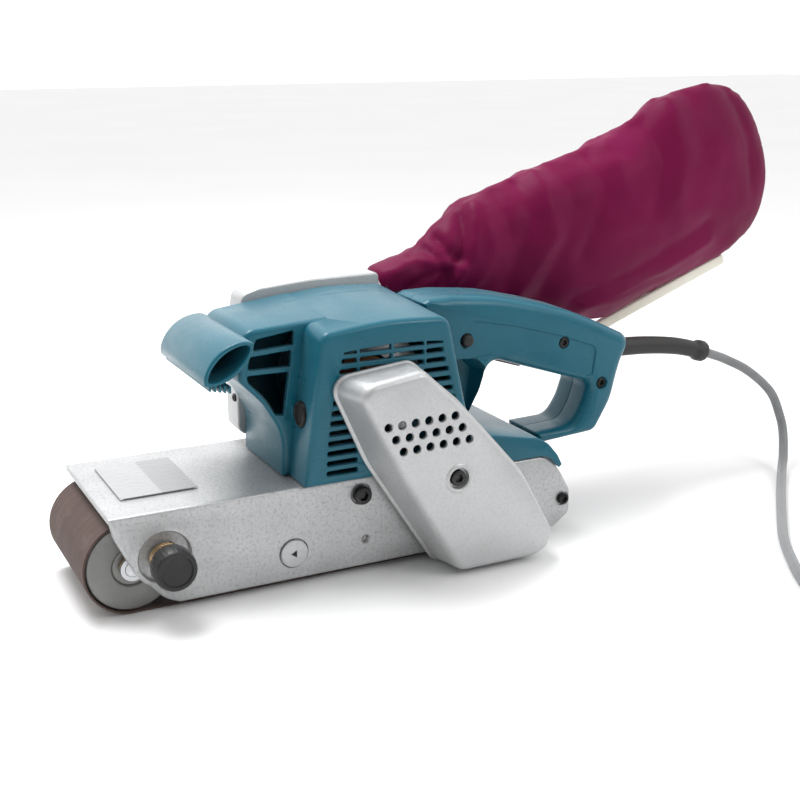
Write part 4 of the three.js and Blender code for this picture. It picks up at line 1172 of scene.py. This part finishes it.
def billow(bag):
    """Lets the cloth fill and wrinkle under a little pressure, held at the neck and along the strip."""
    held = bag.vertex_groups.new(name="held")
    start = [vertex.co.copy() for vertex in bag.data.vertices]
    for vertex in bag.data.vertices:
        x, z = vertex.co.x / MM, vertex.co.z / MM
        on_strip = 222 < x < 334 and z < 101.3 + 0.371 * (x - 228.9) + 6
        held.add([vertex.index], 1.0 if on_strip else smoothstep((78 - x) / 12), "REPLACE")
    cloth = bag.modifiers.new("cloth", "CLOTH")
    settings = cloth.settings
    settings.quality = 6
    settings.mass = 0.2
    settings.tension_stiffness = 20
    settings.compression_stiffness = 20
    settings.shear_stiffness = 8
    settings.bending_stiffness = 0.4
    settings.use_pressure = True
    settings.uniform_pressure_force = 4.0
    settings.vertex_group_mass = "held"
    settings.effector_weights.gravity = 0
    cloth.point_cache.frame_start = 1
    cloth.point_cache.frame_end = CLOTH_FRAMES
    for number in range(1, CLOTH_FRAMES + 1):
        bpy.context.scene.frame_set(number)
    settle(bag)
    bpy.context.scene.frame_set(1)
    for vertex, before in zip(bag.data.vertices, start):
        moved = vertex.co - before
        if moved.length > CLOTH_REACH:
            vertex.co = before + moved.normalized() * CLOTH_REACH


# ---------------------------------------------------------------- CAD nodes that stay

def paint_inner_parts():
    looks = {
        STEEL: (
            "platen_plate", "drive_axle", "drive_bearing", "idler_axle", "idler_yoke", "tension_slide",
            "tension_spring", "lever_pin", "tracking_screw", "motor_bearing_near", "motor_bearing_far",
            "stator", "motor_pulley", "large_pulley", "layshaft", "layshaft_bearing", "pinion",
            "roller_gear",
        ),
        COPPER: ("armature",),
        SMOOTH_SILVER: ("dust_fan",),
        BLACK: ("switch_block",),
        RUBBER: ("timing_belt",),
        GRAPHITE: ("platen_pad", "carbon_brush_front", "carbon_brush_rear"),
    }
    for material, names in looks.items():
        for name in names:
            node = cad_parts[name]
            for place in node.material_slots:
                place.link = "OBJECT"
                place.material = material


# ---------------------------------------------------------------- floor and lights

FLOOR_REACH = 6.0


def make_stage():
    mesh = bpy.data.meshes.new("floor")
    corners = [(-FLOOR_REACH, -FLOOR_REACH), (FLOOR_REACH, -FLOOR_REACH), (FLOOR_REACH, FLOOR_REACH),
               (-FLOOR_REACH, FLOOR_REACH)]
    mesh.from_pydata([(x, y, 0) for x, y in corners], [], [(0, 1, 2, 3)])
    floor = bpy.data.objects.new("floor", mesh)
    bpy.context.collection.objects.link(floor)
    floor.location.z = -0.0002
    paint = Paint("pale_floor", 0.7)
    tone = paint.spread(paint.noise(3, 2), 0, 1)
    paint.use("Base Color", paint.mix(tone, (0.84, 0.84, 0.84), (0.86, 0.86, 0.86)))
    mesh.materials.append(paint.material)


def make_world():
    """White surroundings, brightest above and behind the object and dim on the camera's side."""
    world = bpy.data.worlds.new("studio")
    bpy.context.scene.world = world
    world.use_nodes = True
    nodes, links = world.node_tree.nodes, world.node_tree.links
    place = nodes.new("ShaderNodeTexCoord")
    toward = nodes.new("ShaderNodeVectorMath")
    toward.operation = "DOT_PRODUCT"
    toward.inputs[1].default_value = (0.42, 0.80, 0.30)
    glow = nodes.new("ShaderNodeMapRange")
    for name, value in (("From Min", -0.5), ("From Max", 0.6), ("To Min", 0.34), ("To Max", 1.45)):
        glow.inputs[name].default_value = value
    links.new(place.outputs["Generated"], toward.inputs[0])
    links.new(toward.outputs["Value"], glow.inputs[0])
    links.new(glow.outputs[0], nodes["Background"].inputs["Strength"])
    nodes["Background"].inputs["Color"].default_value = (1, 1, 1, 1)


def softbox(name, place, aim, size, power):
    data = bpy.data.lights.new(name, "AREA")
    data.shape = "RECTANGLE"
    data.size, data.size_y = size
    data.energy = power
    light = bpy.data.objects.new(name, data)
    bpy.context.collection.objects.link(light)
    light.location = place
    light.rotation_mode = "QUATERNION"
    light.rotation_quaternion = (Vector(aim) - Vector(place)).to_track_quat("-Z", "Y")


make_camera()
make_cord()
make_belt()
make_rollers()
make_frame()
make_screws()
make_knob()
make_lever()
make_housing()
make_duct()
make_cover()
make_guard()
make_handle()
make_bag()
paint_inner_parts()
make_stage()
make_world()
softbox("overhead", (-0.15, 0.25, 0.95), (0.06, 0.0, 0.06), (0.5, 0.4), 9)
softbox("right_front", (0.7, -0.9, 0.8), (0.05, 0.0, 0.08), (0.5, 0.5), 4)
bpy.context.scene.view_settings.view_transform = "Standard"
